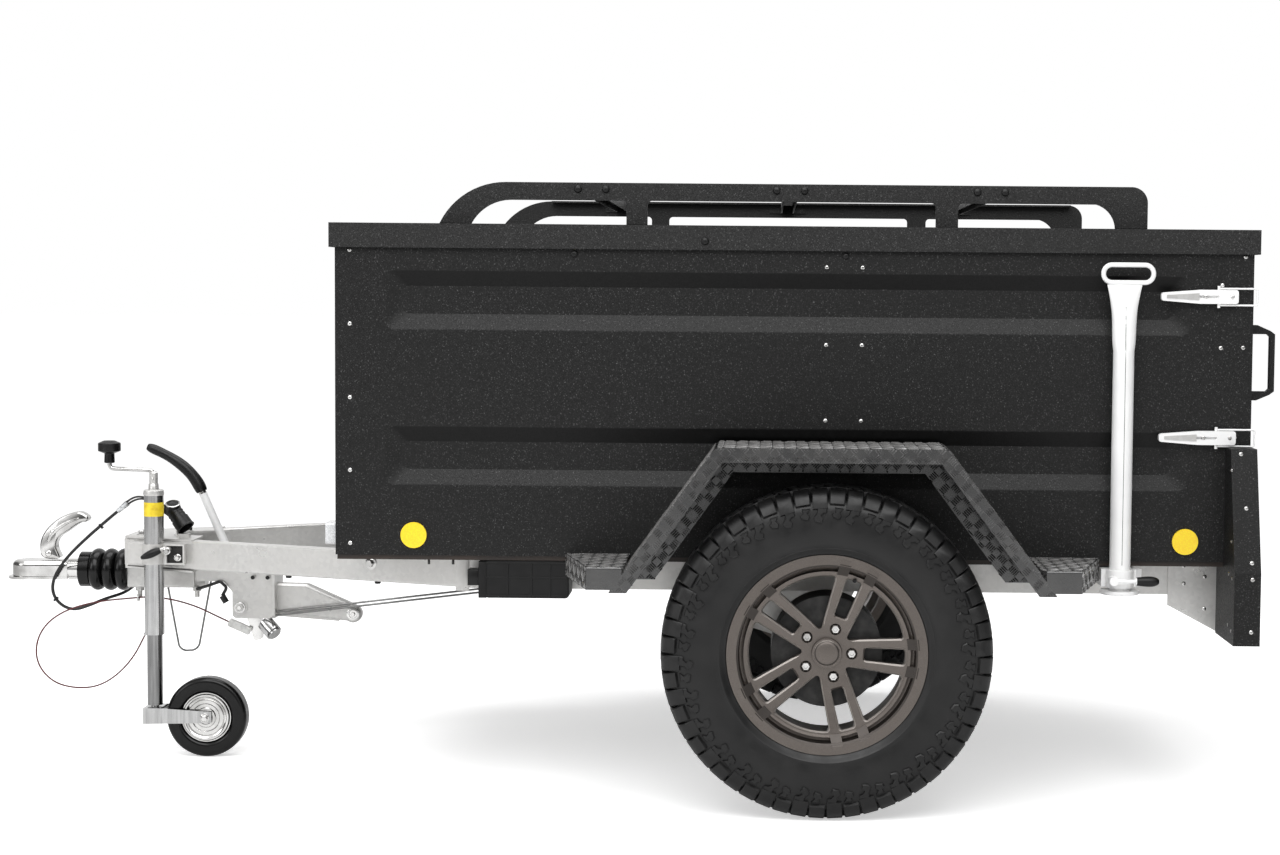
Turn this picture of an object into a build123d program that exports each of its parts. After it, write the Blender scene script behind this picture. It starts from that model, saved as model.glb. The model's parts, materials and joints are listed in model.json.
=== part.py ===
"""Braked single-axle off-road box trailer with a hinged lid, roof rails and a jockey wheel.

Millimetres.  +X points to the rear, +Y to the trailer's right-hand side, +Z up.
The origin is on the ground, midway between the coupling's tip and the rear handles.
Pieces are drawn on the left-hand side (negative Y) and mirrored where the right has a twin.
"""
import os
from math import hypot, radians, tan

from build123d import *

# ---------------------------------------------------------------- driving dimensions
AXLE_X = 529.5                    # wheel centre, measured from the middle of the overall length
COUPLING_TIP_X = AXLE_X - 2091
HANDLE_END_X = AXLE_X + 1032

WHEEL_RADIUS = 373
TYRE_WIDTH = 206
WHEEL_Y = 727                     # centre plane of each road wheel
SPINDLE_RADIUS = 17
RUNNING_GAP = 0.05                # radial clearance of everything that turns on a pin

BOX_FRONT = AXLE_X - 1132
BOX_REAR = AXLE_X + 974
BOX_SIDE = 602                    # half the width over the side panels
PANEL_BOTTOM = 563
PANEL_TOP = 1317
SHEET = 3

RAIL_BOTTOM = 477
RAIL_TOP = 552
RAIL_Y = 500                      # centre plane of each side rail
RAIL_WIDTH = 40
FRAME_FRONT = AXLE_X - 850
FRAME_REAR = AXLE_X + 935

LID_TOP = 1327
LID_DEPTH = 56
LID_LAP = 12

pieces = {}


def keep(name, builder):
    """Label a finished piece with its node name."""
    builder.part.label = name
    pieces[name] = builder.part


def keep_pair(name, left):
    """Label a left-hand piece and its mirrored right-hand twin."""
    with BuildPart() as right:
        mirror(left.part, about=Plane.XZ)
    keep(f"{name}_left", left)
    keep(f"{name}_right", right)


def side_view(y):
    """Sketch plane at Y = y that reads as the left side view: X to the right, Z up."""
    return Plane(origin=(0, y, 0), x_dir=(1, 0, 0), z_dir=(0, -1, 0))


# ---------------------------------------------------------------- chassis frame
CROSS_WIDTH = 40
RAIL_WALL = 3
BRACKET_PLATE = 4
GUARD_FRONT = AXLE_X + 917
CROSS_STATIONS = (FRAME_FRONT + 30, AXLE_X - 330, AXLE_X + 330, FRAME_REAR - CROSS_WIDTH / 2)

with BuildPart() as chassis_frame:
    with BuildSketch(Plane.YZ.offset(FRAME_FRONT)):
        for side in (-1, 1):
            with Locations((side * RAIL_Y, (RAIL_BOTTOM + RAIL_TOP) / 2)):
                Rectangle(RAIL_WIDTH, RAIL_TOP - RAIL_BOTTOM)
            with Locations((side * (RAIL_Y - RAIL_WALL), (RAIL_BOTTOM + RAIL_TOP) / 2)):
                Rectangle(RAIL_WIDTH, RAIL_TOP - RAIL_BOTTOM - 2 * RAIL_WALL, mode=Mode.SUBTRACT)
    extrude(amount=FRAME_REAR - FRAME_FRONT)
    for station in CROSS_STATIONS:
        with BuildSketch(side_view(RAIL_Y - RAIL_WIDTH / 2)):
            with Locations((station, (RAIL_BOTTOM + RAIL_TOP) / 2)):
                Rectangle(CROSS_WIDTH, RAIL_TOP - RAIL_BOTTOM)
            with Locations((station, (RAIL_BOTTOM + RAIL_TOP) / 2 - RAIL_WALL)):
                Rectangle(CROSS_WIDTH - 2 * RAIL_WALL, RAIL_TOP - RAIL_BOTTOM, mode=Mode.SUBTRACT)
        extrude(amount=2 * RAIL_Y - RAIL_WIDTH)
    with BuildSketch(side_view(-RAIL_Y - RAIL_WIDTH / 2)):
        with BuildLine():
            Polyline((GUARD_FRONT - 113, RAIL_TOP), (GUARD_FRONT, RAIL_TOP), (GUARD_FRONT, 392),
                     (GUARD_FRONT - 113, 452), close=True)
        make_face()
    extrude(amount=BRACKET_PLATE)
    mirror(about=Plane.XZ)
keep("chassis_frame", chassis_frame)

# ---------------------------------------------------------------- V drawbar
NOSE_X = AXLE_X - 1763
NOSE_Y = 58
NOSE_Z = 503
BEAM_HEIGHT = 72
BEAM_WIDTH = 40
BEAM_WALL = 4
BEAM_END = Vector(FRAME_FRONT, -RAIL_Y, (RAIL_BOTTOM + RAIL_TOP) / 2)
BEAM_START = Vector(NOSE_X, -NOSE_Y, NOSE_Z)
BEAM_RUN = BEAM_END - BEAM_START
NOSE_PLATE = 6
NOSE_FLANGE = 5
GUSSET_REAR = AXLE_X - 1575
PLUG_POST = Vector(AXLE_X - 1611, -106, 554)      # top of the rest that carries the parked plug


def beam_side(x):
    """Half the width over the two beams at station x."""
    return NOSE_Y + BEAM_WIDTH / 2 + 2 + (x - NOSE_X) * (RAIL_Y - NOSE_Y) / (FRAME_FRONT - NOSE_X)


with BuildPart() as drawbar:
    beam_plane = Plane(origin=BEAM_START, x_dir=BEAM_RUN.cross(Vector(0, 0, 1)), z_dir=BEAM_RUN)
    with BuildSketch(beam_plane):
        RectangleRounded(BEAM_WIDTH, BEAM_HEIGHT, 6)
        RectangleRounded(BEAM_WIDTH - 2 * BEAM_WALL, BEAM_HEIGHT - 2 * BEAM_WALL, 3,
                         mode=Mode.SUBTRACT)
    extrude(amount=BEAM_RUN.length)
    mirror(about=Plane.XZ)
    with BuildSketch(Plane.YZ.offset(NOSE_X - NOSE_PLATE)):
        with Locations((0, NOSE_Z)):
            Rectangle(2 * beam_side(NOSE_X), BEAM_HEIGHT)
    extrude(amount=NOSE_PLATE)
    for flange_z in (NOSE_Z + BEAM_HEIGHT / 2, NOSE_Z - BEAM_HEIGHT / 2 - NOSE_FLANGE):
        with BuildSketch(Plane.XY.offset(flange_z)):
            with BuildLine():
                Polyline((NOSE_X - NOSE_PLATE, -beam_side(NOSE_X)), (GUSSET_REAR, -beam_side(GUSSET_REAR)),
                         (GUSSET_REAR, beam_side(GUSSET_REAR)), (NOSE_X - NOSE_PLATE, beam_side(NOSE_X)),
                         close=True)
            make_face()
            with Locations((GUSSET_REAR, 0)):
                Ellipse(70, 60, mode=Mode.SUBTRACT)
        extrude(amount=NOSE_FLANGE)
    with Locations((PLUG_POST.X, PLUG_POST.Y, (PLUG_POST.Z + NOSE_Z + BEAM_HEIGHT / 2) / 2)):
        Box(26, 22, PLUG_POST.Z - NOSE_Z - BEAM_HEIGHT / 2)
    split(bisect_by=Plane.YZ.offset(FRAME_FRONT), keep=Keep.BOTTOM)
keep("drawbar", drawbar)

# ---------------------------------------------------------------- overrun device and coupling
HITCH_Z = 448
HOUSING_FRONT = AXLE_X - 1778
HOUSING_REAR = AXLE_X - 1581
HOUSING_BOTTOM = 405
HOUSING_TOP = NOSE_Z - BEAM_HEIGHT / 2 - NOSE_FLANGE
HOUSING_WIDTH = 64
HOUSING_MID = (HOUSING_BOTTOM + HOUSING_TOP) / 2
SLEEVE_LENGTH = 26
SLEEVE_RADIUS = 27
HITCH_TUBE_RADIUS = 25
HOUSING_BOLTS = (AXLE_X - 1755, AXLE_X - 1607)
HOUSING_BOLT_FOOT = 378
CABLE_EYE = Vector(AXLE_X - 1755, -14, 377)
HOOK_LUG = Vector(AXLE_X - 1723, 24, 382)

with BuildPart() as overrun_housing:
    with BuildSketch(Plane.YZ.offset(HOUSING_FRONT)):
        with Locations((0, HOUSING_MID)):
            RectangleRounded(HOUSING_WIDTH, HOUSING_TOP - HOUSING_BOTTOM, 8)
    extrude(amount=HOUSING_REAR - HOUSING_FRONT - SLEEVE_LENGTH)
    with BuildSketch(Plane.YZ.offset(HOUSING_REAR - SLEEVE_LENGTH)):
        with Locations((0, HOUSING_MID)):
            Circle(SLEEVE_RADIUS)
    extrude(amount=SLEEVE_LENGTH)
    for bolt_x in HOUSING_BOLTS:
        with BuildSketch(Plane.XY.offset(HOUSING_BOTTOM)):
            with Locations((bolt_x, 0)):
                RegularPolygon(11, 6)
        extrude(amount=-11)
        with BuildSketch(Plane.XY.offset(HOUSING_BOTTOM)):
            with Locations((bolt_x, 0)):
                Circle(6)
        extrude(amount=HOUSING_BOLT_FOOT - HOUSING_BOTTOM)
    with BuildSketch(Plane.YZ.offset(CABLE_EYE.X - 2)):
        with Locations((CABLE_EYE.Y, CABLE_EYE.Z)):
            Circle(9.5)
            Circle(5.5, mode=Mode.SUBTRACT)
    extrude(amount=4)
    with BuildSketch(side_view(HOOK_LUG.Y + 2)):
        with Locations((HOOK_LUG.X, (HOUSING_BOTTOM + HOOK_LUG.Z) / 2)):
            Rectangle(24, HOUSING_BOTTOM - HOOK_LUG.Z)
        with Locations((HOOK_LUG.X, HOOK_LUG.Z)):
            Circle(12)
            Circle(6, mode=Mode.SUBTRACT)
    extrude(amount=4)
keep("overrun_housing", overrun_housing)

BELLOWS_FRONT = AXLE_X - 1878
BELLOWS_COLLAR = AXLE_X - 1904
BELLOWS_VALLEY = 38
BELLOWS_CREST = 54
BELLOWS_PITCH = (HOUSING_FRONT - BELLOWS_FRONT) / 3
with BuildPart() as drawbar_bellows:
    with BuildSketch(side_view(0)):
        with BuildLine():
            Polyline((BELLOWS_FRONT, HITCH_Z + BELLOWS_VALLEY), (BELLOWS_FRONT, HITCH_Z + 45),
                     (BELLOWS_COLLAR, HITCH_Z + 45), (BELLOWS_COLLAR, HITCH_Z + HITCH_TUBE_RADIUS + 2),
                     (HOUSING_FRONT, HITCH_Z + HITCH_TUBE_RADIUS + 2),
                     (HOUSING_FRONT, HITCH_Z + BELLOWS_VALLEY))
            for fold in range(3):
                start = BELLOWS_FRONT + fold * BELLOWS_PITCH
                ThreePointArc((start, HITCH_Z + BELLOWS_VALLEY),
                              (start + BELLOWS_PITCH / 2, HITCH_Z + BELLOWS_CREST),
                              (start + BELLOWS_PITCH, HITCH_Z + BELLOWS_VALLEY))
        make_face()
    revolve(axis=Axis((0, 0, HITCH_Z), (1, 0, 0)))
keep("drawbar_bellows", drawbar_bellows)

BALL_X = AXLE_X - 2040
BALL_RADIUS = 25
HEAD_NECK = AXLE_X - 1935
HEAD_TOP = 472
LIP_TOP = 431


def head_outline(z, side, tip):
    """Plan outline of the coupling head: a round nose that tapers to the neck."""
    with BuildSketch(Plane.XY.offset(z)) as outline:
        with BuildLine():
            nose = ThreePointArc((BALL_X, -side), (tip, 0), (BALL_X, side))
            Polyline(nose @ 1, (HEAD_NECK, 28), (HEAD_NECK, -28), nose @ 0)
        make_face()
    return outline.sketch


with BuildPart() as coupling_head:
    extrude(head_outline(425, 46, COUPLING_TIP_X), amount=LIP_TOP - 425)
    extrude(head_outline(LIP_TOP, 38, COUPLING_TIP_X + 10), amount=HEAD_TOP - LIP_TOP)
    fillet(coupling_head.edges().filter_by(Axis.Z, reverse=True).group_by(Axis.Z)[-1], 13)
    with BuildSketch(Plane.YZ.offset(HEAD_NECK)):
        with Locations((0, HITCH_Z)):
            Circle(27)
    extrude(amount=BELLOWS_COLLAR - HEAD_NECK)
    with Locations((BALL_X, 0, 430)):
        Sphere(BALL_RADIUS + 0.5, mode=Mode.SUBTRACT)
    with BuildSketch(Plane.YZ.offset(HEAD_NECK)):
        with Locations((0, HITCH_Z)):
            Circle(HITCH_TUBE_RADIUS)
    extrude(amount=HOUSING_FRONT - HEAD_NECK)
keep("coupling_head", coupling_head)

HANDLE_HALF = 17
HANDLE_ROOT = AXLE_X - 2012
with BuildPart() as coupling_handle:
    with BuildSketch(side_view(HANDLE_HALF)):
        with BuildLine():
            FilletPolyline((HANDLE_ROOT, HEAD_TOP), (HANDLE_ROOT, 546), (HANDLE_ROOT + 50, 580),
                           (HANDLE_ROOT + 122, 597), (HANDLE_ROOT + 114, 562), (HANDLE_ROOT + 68, 547),
                           (HANDLE_ROOT + 40, 528), (HANDLE_ROOT + 40, HEAD_TOP), radius=13, close=True)
        make_face()
    extrude(amount=2 * HANDLE_HALF)
    fillet(coupling_handle.faces().filter_by(Axis.Y).edges(), 7)
    with BuildSketch(side_view(9)):
        with Locations((HANDLE_ROOT + 20, HEAD_TOP + 12)):
            Rectangle(60, 24)
    extrude(amount=18, mode=Mode.SUBTRACT)
    split(bisect_by=Plane.XY.offset(HEAD_TOP), keep=Keep.TOP)
keep("coupling_handle", coupling_handle)

# ---------------------------------------------------------------- parking brake
CHEEK_Y = HOUSING_WIDTH / 2       # inner face of the bracket's two cheeks
CHEEK = 6
BRACKET_TOP = NOSE_Z - BEAM_HEIGHT / 2 - NOSE_FLANGE
BRACKET_REAR = AXLE_X - 1404
BRACKET_FLANGE = 8
ARM_HALF = 17
ARM_EYE = (AXLE_X - 1203, 339)
BRAKE_PIVOT = (AXLE_X - 1487, 357)

with BuildPart() as handbrake_bracket:
    with BuildSketch(side_view(ARM_HALF)):
        with BuildLine():
            FilletPolyline((BRACKET_REAR - 6, 418), (AXLE_X - 1320, 416), (AXLE_X - 1192, 360),
                           (AXLE_X - 1192, 318), (BRACKET_REAR - 6, 342), radius=14, close=True)
        make_face()
        with Locations(ARM_EYE):
            Circle(23)
    extrude(amount=2 * ARM_HALF)
    fillet(handbrake_bracket.faces().filter_by(Axis.Y).edges(), 9)
    with BuildSketch(side_view(-CHEEK_Y)):
        with BuildLine():
            FilletPolyline((AXLE_X - 1600, 424), (AXLE_X - 1530, 424), (AXLE_X - 1507, 398),
                           (AXLE_X - 1507, 329), (BRACKET_REAR, 329), (BRACKET_REAR, BRACKET_TOP),
                           (AXLE_X - 1600, BRACKET_TOP), radius=11, close=True)
        make_face()
        with Locations((AXLE_X - 1452, 436), (AXLE_X - 1414, 436)):
            Circle(5, mode=Mode.SUBTRACT)
    extrude(amount=CHEEK)
    mirror(about=Plane.XZ)
    with BuildSketch(Plane.YZ.offset(BRACKET_REAR)):
        with Locations((0, (331 + BRACKET_TOP) / 2)):
            RectangleRounded(100, BRACKET_TOP - 331, 10)
    extrude(amount=BRACKET_FLANGE)
    with BuildSketch(side_view(3)):
        with BuildLine():
            Polyline((BRACKET_REAR + 4, 345), (AXLE_X - 1225, 335), (AXLE_X - 1240, 319),
                     (BRACKET_REAR + 4, 331), close=True)
        make_face()
    extrude(amount=6)
    with BuildSketch(side_view(-CHEEK_Y - CHEEK)):
        with Locations(BRAKE_PIVOT):
            Circle(19)
    extrude(amount=3)
    with BuildSketch(side_view(-CHEEK_Y - CHEEK - 3)):
        with Locations(BRAKE_PIVOT):
            RegularPolygon(11, 6)
    extrude(amount=9)
    with BuildSketch(side_view(CHEEK_Y)):
        with Locations(BRAKE_PIVOT):
            Circle(7)
    extrude(amount=2 * CHEEK_Y)
keep("handbrake_bracket", handbrake_bracket)

FINGER_Y = -CHEEK_Y + 8
LEVER_FOOT = Vector(AXLE_X - 1490, 0, 415)
LEVER_TOP = Vector(AXLE_X - 1595, 0, 657)
LEVER_RUN = LEVER_TOP - LEVER_FOOT
GRIP_LAP = 6
with BuildPart() as handbrake_lever:
    with BuildSketch(Plane(origin=LEVER_FOOT, z_dir=LEVER_RUN)):
        Circle(10)
    extrude(amount=LEVER_RUN.length - GRIP_LAP)
    with BuildSketch(side_view(8)):
        with BuildLine():
            FilletPolyline((AXLE_X - 1509, 440), (AXLE_X - 1468, 448), (AXLE_X - 1452, 400),
                           (AXLE_X - 1440, 330), (AXLE_X - 1437, 272), (AXLE_X - 1458, 266),
                           (AXLE_X - 1478, 330), (AXLE_X - 1503, 350), radius=6, close=True)
        make_face()
        with Locations(BRAKE_PIVOT):
            Circle(7 + RUNNING_GAP, mode=Mode.SUBTRACT)
    extrude(amount=16)
keep("handbrake_lever", handbrake_lever)

GRIP_SECTIONS = ((0, 13.5), (0.1, 16), (0.3, 15), (0.55, 14), (0.8, 12.5), (0.96, 11), (1, 8))
with BuildPart() as handbrake_grip:
    grip_curve = Spline(LEVER_TOP - LEVER_RUN.normalized() * GRIP_LAP, (AXLE_X - 1636, 0, 712),
                        (AXLE_X - 1697, 0, 751), (AXLE_X - 1732, 0, 766),
                        tangents=(LEVER_RUN.normalized(), Vector(-0.9, 0, 0.35)))
    for share, grip_radius in GRIP_SECTIONS:
        with BuildSketch(Plane(origin=grip_curve @ share, z_dir=grip_curve % share)):
            Circle(grip_radius)
    loft()
keep("handbrake_grip", handbrake_grip)

# Gas spring of the parking brake, seen end on below the bracket.
SPRING_START = Vector(AXLE_X - 1428, -14, 314)
SPRING_END = Vector(AXLE_X - 1402, -31, 291)
with BuildPart() as brake_spring:
    with BuildSketch(Plane(origin=SPRING_START, z_dir=SPRING_END - SPRING_START)):
        Circle(21)
    extrude(amount=(SPRING_END - SPRING_START).length)
    with BuildSketch(Plane(origin=SPRING_END, z_dir=SPRING_END - SPRING_START)):
        Circle(17)
    extrude(amount=5)
keep("brake_spring", brake_spring)

BEAM_TUBE = 80                    # square axle tube
AXLE_TUBE_X = AXLE_X - 165
AXLE_TUBE_Z = 433
with BuildPart() as brake_rods:
    rod_start = Vector(BRACKET_REAR + BRACKET_FLANGE, -25, 343)
    rod_end = Vector(AXLE_TUBE_X - BEAM_TUBE / 2 - 1, -25, 405)
    with BuildSketch(Plane(origin=rod_start, z_dir=rod_end - rod_start)):
        Circle(5)
    extrude(amount=(rod_end - rod_start).length)
keep("brake_rods", brake_rods)

# Sheathed brake cable that loops from the housing's rear bolt to its clevis on the cheek.
CABLE_SIDE = -CHEEK_Y - CHEEK - 8
with BuildPart() as brake_cable:
    with BuildLine() as brake_cable_line:
        FilletPolyline((AXLE_X - 1601, -27, 402), (AXLE_X - 1570, -36, 412), (AXLE_X - 1536, CABLE_SIDE, 425),
                       (AXLE_X - 1519, CABLE_SIDE, 409), (AXLE_X - 1531, CABLE_SIDE, 388), radius=9)
    with BuildSketch(Plane(origin=brake_cable_line.line @ 0, z_dir=brake_cable_line.line % 0)):
        Circle(4)
    sweep()
    with BuildSketch(Plane(origin=brake_cable_line.line @ 1, z_dir=(0.5, 0, -0.85))):
        Circle(8)
    extrude(amount=20)
keep("brake_cable", brake_cable)

# Spring-wire stay below the right-hand beam.
STAY_WIRE = 2.5
with BuildPart() as cable_stay:
    with BuildLine() as stay_line:
        FilletPolyline((AXLE_X - 1719, 90, BRACKET_TOP), (AXLE_X - 1680, 103, 221),
                       (AXLE_X - 1635, 118, 221), (AXLE_X - 1593, 131, BRACKET_TOP), radius=22)
    with BuildSketch(Plane(origin=stay_line.line @ 0, z_dir=stay_line.line % 0)):
        Circle(STAY_WIRE)
    sweep()
    with BuildSketch(Plane.XY.offset(BRACKET_TOP)):
        with Locations((AXLE_X - 1719, 90), (AXLE_X - 1593, 131)):
            Circle(7)
    extrude(amount=-5)
    split(bisect_by=Plane.XY.offset(BRACKET_TOP), keep=Keep.BOTTOM)
keep("cable_stay", cable_stay)

# ---------------------------------------------------------------- jockey wheel
JOCKEY_X = AXLE_X - 1672
JOCKEY_Y = -165
JOCKEY_TUBE_RADIUS = 24
JOCKEY_TUBE_TOP = 659
JOCKEY_TUBE_FOOT = 306
JOCKEY_TUBE_WALL = 3
INNER_TUBE_RADIUS = 19
FORK_TOP = 128
JOCKEY_WHEEL_X = AXLE_X - 1539
JOCKEY_WHEEL_RADIUS = 100
JOCKEY_WHEEL_WIDTH = 50
jockey_axis = Axis((JOCKEY_X, JOCKEY_Y, 0), (0, 0, 1))

with BuildPart() as jockey_outer_tube:
    with BuildSketch(Plane.XY.offset(JOCKEY_TUBE_FOOT)):
        with Locations((JOCKEY_X, JOCKEY_Y)):
            Circle(JOCKEY_TUBE_RADIUS)
            Circle(JOCKEY_TUBE_RADIUS - JOCKEY_TUBE_WALL, mode=Mode.SUBTRACT)
    extrude(amount=JOCKEY_TUBE_TOP - JOCKEY_TUBE_FOOT)
    with BuildSketch(Plane.XY.offset(JOCKEY_TUBE_TOP)):
        with Locations((JOCKEY_X, JOCKEY_Y)):
            Circle(JOCKEY_TUBE_RADIUS)
    extrude(amount=4)
    with BuildSketch(Plane.XY.offset(JOCKEY_TUBE_TOP + 4)):
        with Locations((JOCKEY_X, JOCKEY_Y)):
            RegularPolygon(11, 6)
    extrude(amount=24)
keep("jockey_outer_tube", jockey_outer_tube)

CRANK_TOP = 724
KNOB_RADIUS = 27.5
with BuildPart() as jockey_crank:
    with BuildLine() as crank_line:
        FilletPolyline((JOCKEY_X, JOCKEY_Y, JOCKEY_TUBE_TOP + 28), (JOCKEY_X, JOCKEY_Y, CRANK_TOP),
                       (JOCKEY_X - 110, JOCKEY_Y, CRANK_TOP),
                       (JOCKEY_X - 110, JOCKEY_Y, CRANK_TOP + 25), radius=12)
    with BuildSketch(Plane.XY.offset(JOCKEY_TUBE_TOP + 28)):
        with Locations((JOCKEY_X, JOCKEY_Y)):
            Circle(6)
    sweep()
keep("jockey_crank", jockey_crank)

with BuildPart() as crank_knob:
    with BuildSketch(side_view(JOCKEY_Y)):
        with BuildLine():
            FilletPolyline((JOCKEY_X - 110 - 6, CRANK_TOP + 12), (JOCKEY_X - 110 - 13, CRANK_TOP + 12),
                           (JOCKEY_X - 110 - 12, CRANK_TOP + 36), (JOCKEY_X - 110 - KNOB_RADIUS, CRANK_TOP + 42),
                           (JOCKEY_X - 110 - KNOB_RADIUS, CRANK_TOP + 62), (JOCKEY_X - 110 - 14, CRANK_TOP + 68),
                           (JOCKEY_X - 110, CRANK_TOP + 69), radius=3)
            Polyline((JOCKEY_X - 110, CRANK_TOP + 69), (JOCKEY_X - 110, CRANK_TOP + 25),
                     (JOCKEY_X - 110 - 6, CRANK_TOP + 25), (JOCKEY_X - 110 - 6, CRANK_TOP + 12))
        make_face()
    revolve(axis=Axis((JOCKEY_X - 110, JOCKEY_Y, 0), (0, 0, 1)))
keep("crank_knob", crank_knob)

CLAMP_FOOT = 484
CLAMP_TOP = 535
CLAMP_BOX_X = AXLE_X - 1616
CLAMP_PIVOT = Vector(AXLE_X - 1634, JOCKEY_Y - 34, 528)
CLAMP_TIP = Vector(AXLE_X - 1692, JOCKEY_Y - 48, 503)
CLAMP_LEVER_RADIUS = 4.5
CLAMP_GRIP_START = 14             # length of bare lever before its grip
with BuildPart() as jockey_clamp:
    with BuildSketch(Plane.XY.offset(CLAMP_FOOT)):
        with Locations((JOCKEY_X, JOCKEY_Y)):
            Circle(JOCKEY_TUBE_RADIUS + 6)
        with BuildLine():
            Polyline((AXLE_X - 1737, JOCKEY_Y - 2), (JOCKEY_X, JOCKEY_Y - 2), (JOCKEY_X, JOCKEY_Y + 40),
                     (AXLE_X - 1737, -80), close=True)
        make_face()
        with BuildLine():
            Polyline((JOCKEY_X, JOCKEY_Y + 12), (CLAMP_BOX_X - 25, JOCKEY_Y - 22),
                     (CLAMP_BOX_X + 25, JOCKEY_Y - 22), (CLAMP_BOX_X + 25, JOCKEY_Y + 40),
                     (JOCKEY_X, JOCKEY_Y + 40), close=True)
        make_face()
        with Locations((JOCKEY_X, JOCKEY_Y)):
            Circle(JOCKEY_TUBE_RADIUS, mode=Mode.SUBTRACT)
    extrude(amount=CLAMP_TOP - CLAMP_FOOT)
    with BuildSketch(side_view(JOCKEY_Y - 12)):
        with Locations((CLAMP_BOX_X + 1, (CLAMP_FOOT + CLAMP_TOP) / 2)):
            Rectangle(40, CLAMP_TOP - CLAMP_FOOT - 8)
    extrude(amount=12, mode=Mode.SUBTRACT)
    with BuildSketch(beam_plane):
        Rectangle(BEAM_WIDTH, BEAM_HEIGHT)
    extrude(amount=BEAM_RUN.length, mode=Mode.SUBTRACT)
    with BuildSketch(Plane(origin=CLAMP_PIVOT, z_dir=CLAMP_TIP - CLAMP_PIVOT)):
        Circle(CLAMP_LEVER_RADIUS)
    extrude(amount=CLAMP_GRIP_START + 20)
    with BuildSketch(side_view(JOCKEY_Y - 8)):
        with Locations((CLAMP_PIVOT.X + 4, CLAMP_PIVOT.Z - 4)):
            Circle(5)
    extrude(amount=26)
keep("jockey_clamp", jockey_clamp)

CLAMP_RUN = (CLAMP_TIP - CLAMP_PIVOT).normalized()
with BuildPart() as clamp_grip:
    for along, grip_radius in ((CLAMP_GRIP_START, 7), (CLAMP_GRIP_START + 12, 9.5), (54, 7.5),
                               ((CLAMP_TIP - CLAMP_PIVOT).length, 3.5)):
        with BuildSketch(Plane(origin=CLAMP_PIVOT + CLAMP_RUN * along, z_dir=CLAMP_RUN)):
            Circle(grip_radius)
    loft()
    with BuildSketch(Plane(origin=CLAMP_PIVOT + CLAMP_RUN * CLAMP_GRIP_START, z_dir=CLAMP_RUN)):
        Circle(CLAMP_LEVER_RADIUS)
    extrude(amount=20, mode=Mode.SUBTRACT)
keep("clamp_grip", clamp_grip)

INNER_TUBE_TOP = 470
with BuildPart() as jockey_inner_tube:
    with BuildSketch(Plane.XY.offset(FORK_TOP)):
        with Locations((JOCKEY_X, JOCKEY_Y)):
            Circle(INNER_TUBE_RADIUS)
            Circle(10 + RUNNING_GAP, mode=Mode.SUBTRACT)
    extrude(amount=INNER_TUBE_TOP - FORK_TOP)
keep("jockey_inner_tube", jockey_inner_tube)

with BuildPart() as jockey_fork:
    for cheek in (-35, 31):
        with BuildSketch(side_view(JOCKEY_Y - cheek)):
            with BuildLine():
                Polyline((JOCKEY_X - 22, 124), (JOCKEY_X + 22, 124), (JOCKEY_WHEEL_X + 16, 116),
                         (JOCKEY_WHEEL_X + 16, 88), (JOCKEY_X - 22, 84), close=True)
            make_face()
        extrude(amount=4)
    with BuildSketch(Plane.XY.offset(120)):
        with Locations((JOCKEY_X, JOCKEY_Y)):
            Rectangle(44, 70)
    extrude(amount=4)
    with BuildSketch(Plane.XY.offset(124)):
        with Locations((JOCKEY_X, JOCKEY_Y)):
            Circle(10)
    extrude(amount=40)
    with BuildSketch(side_view(JOCKEY_Y + 35)):
        with Locations((JOCKEY_WHEEL_X, JOCKEY_WHEEL_RADIUS)):
            Circle(8)
    extrude(amount=70)
keep("jockey_fork", jockey_fork)

jockey_wheel_axis = Axis((JOCKEY_WHEEL_X, 0, JOCKEY_WHEEL_RADIUS), (0, 1, 0))
JOCKEY_RIM_RADIUS = 62
with BuildPart() as jockey_rim:
    with BuildSketch(Plane.YZ.offset(JOCKEY_WHEEL_X)):
        with Locations((JOCKEY_Y, JOCKEY_WHEEL_RADIUS + (8 + RUNNING_GAP + 20) / 2)):
            Rectangle(46, 20 - 8 - RUNNING_GAP)
        with Locations((JOCKEY_Y, JOCKEY_WHEEL_RADIUS + 40)):
            Rectangle(6, 44)
        with Locations((JOCKEY_Y, JOCKEY_WHEEL_RADIUS + JOCKEY_RIM_RADIUS - 2)):
            Rectangle(40, 4)
    revolve(axis=jockey_wheel_axis)
keep("jockey_rim", jockey_rim)

with BuildPart() as jockey_tyre:
    with BuildSketch(Plane.YZ.offset(JOCKEY_WHEEL_X)):
        with Locations((JOCKEY_Y, JOCKEY_WHEEL_RADIUS + (JOCKEY_RIM_RADIUS + JOCKEY_WHEEL_RADIUS) / 2)):
            RectangleRounded(JOCKEY_WHEEL_WIDTH, JOCKEY_WHEEL_RADIUS - JOCKEY_RIM_RADIUS, 12)
    revolve(axis=jockey_wheel_axis)
keep("jockey_tyre", jockey_tyre)

# ---------------------------------------------------------------- loose cables
def from_axle(point):
    """Point of the trailer, given with its X measured from the axle line."""
    return Vector(AXLE_X, 0, 0) + Vector(*point)


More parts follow.
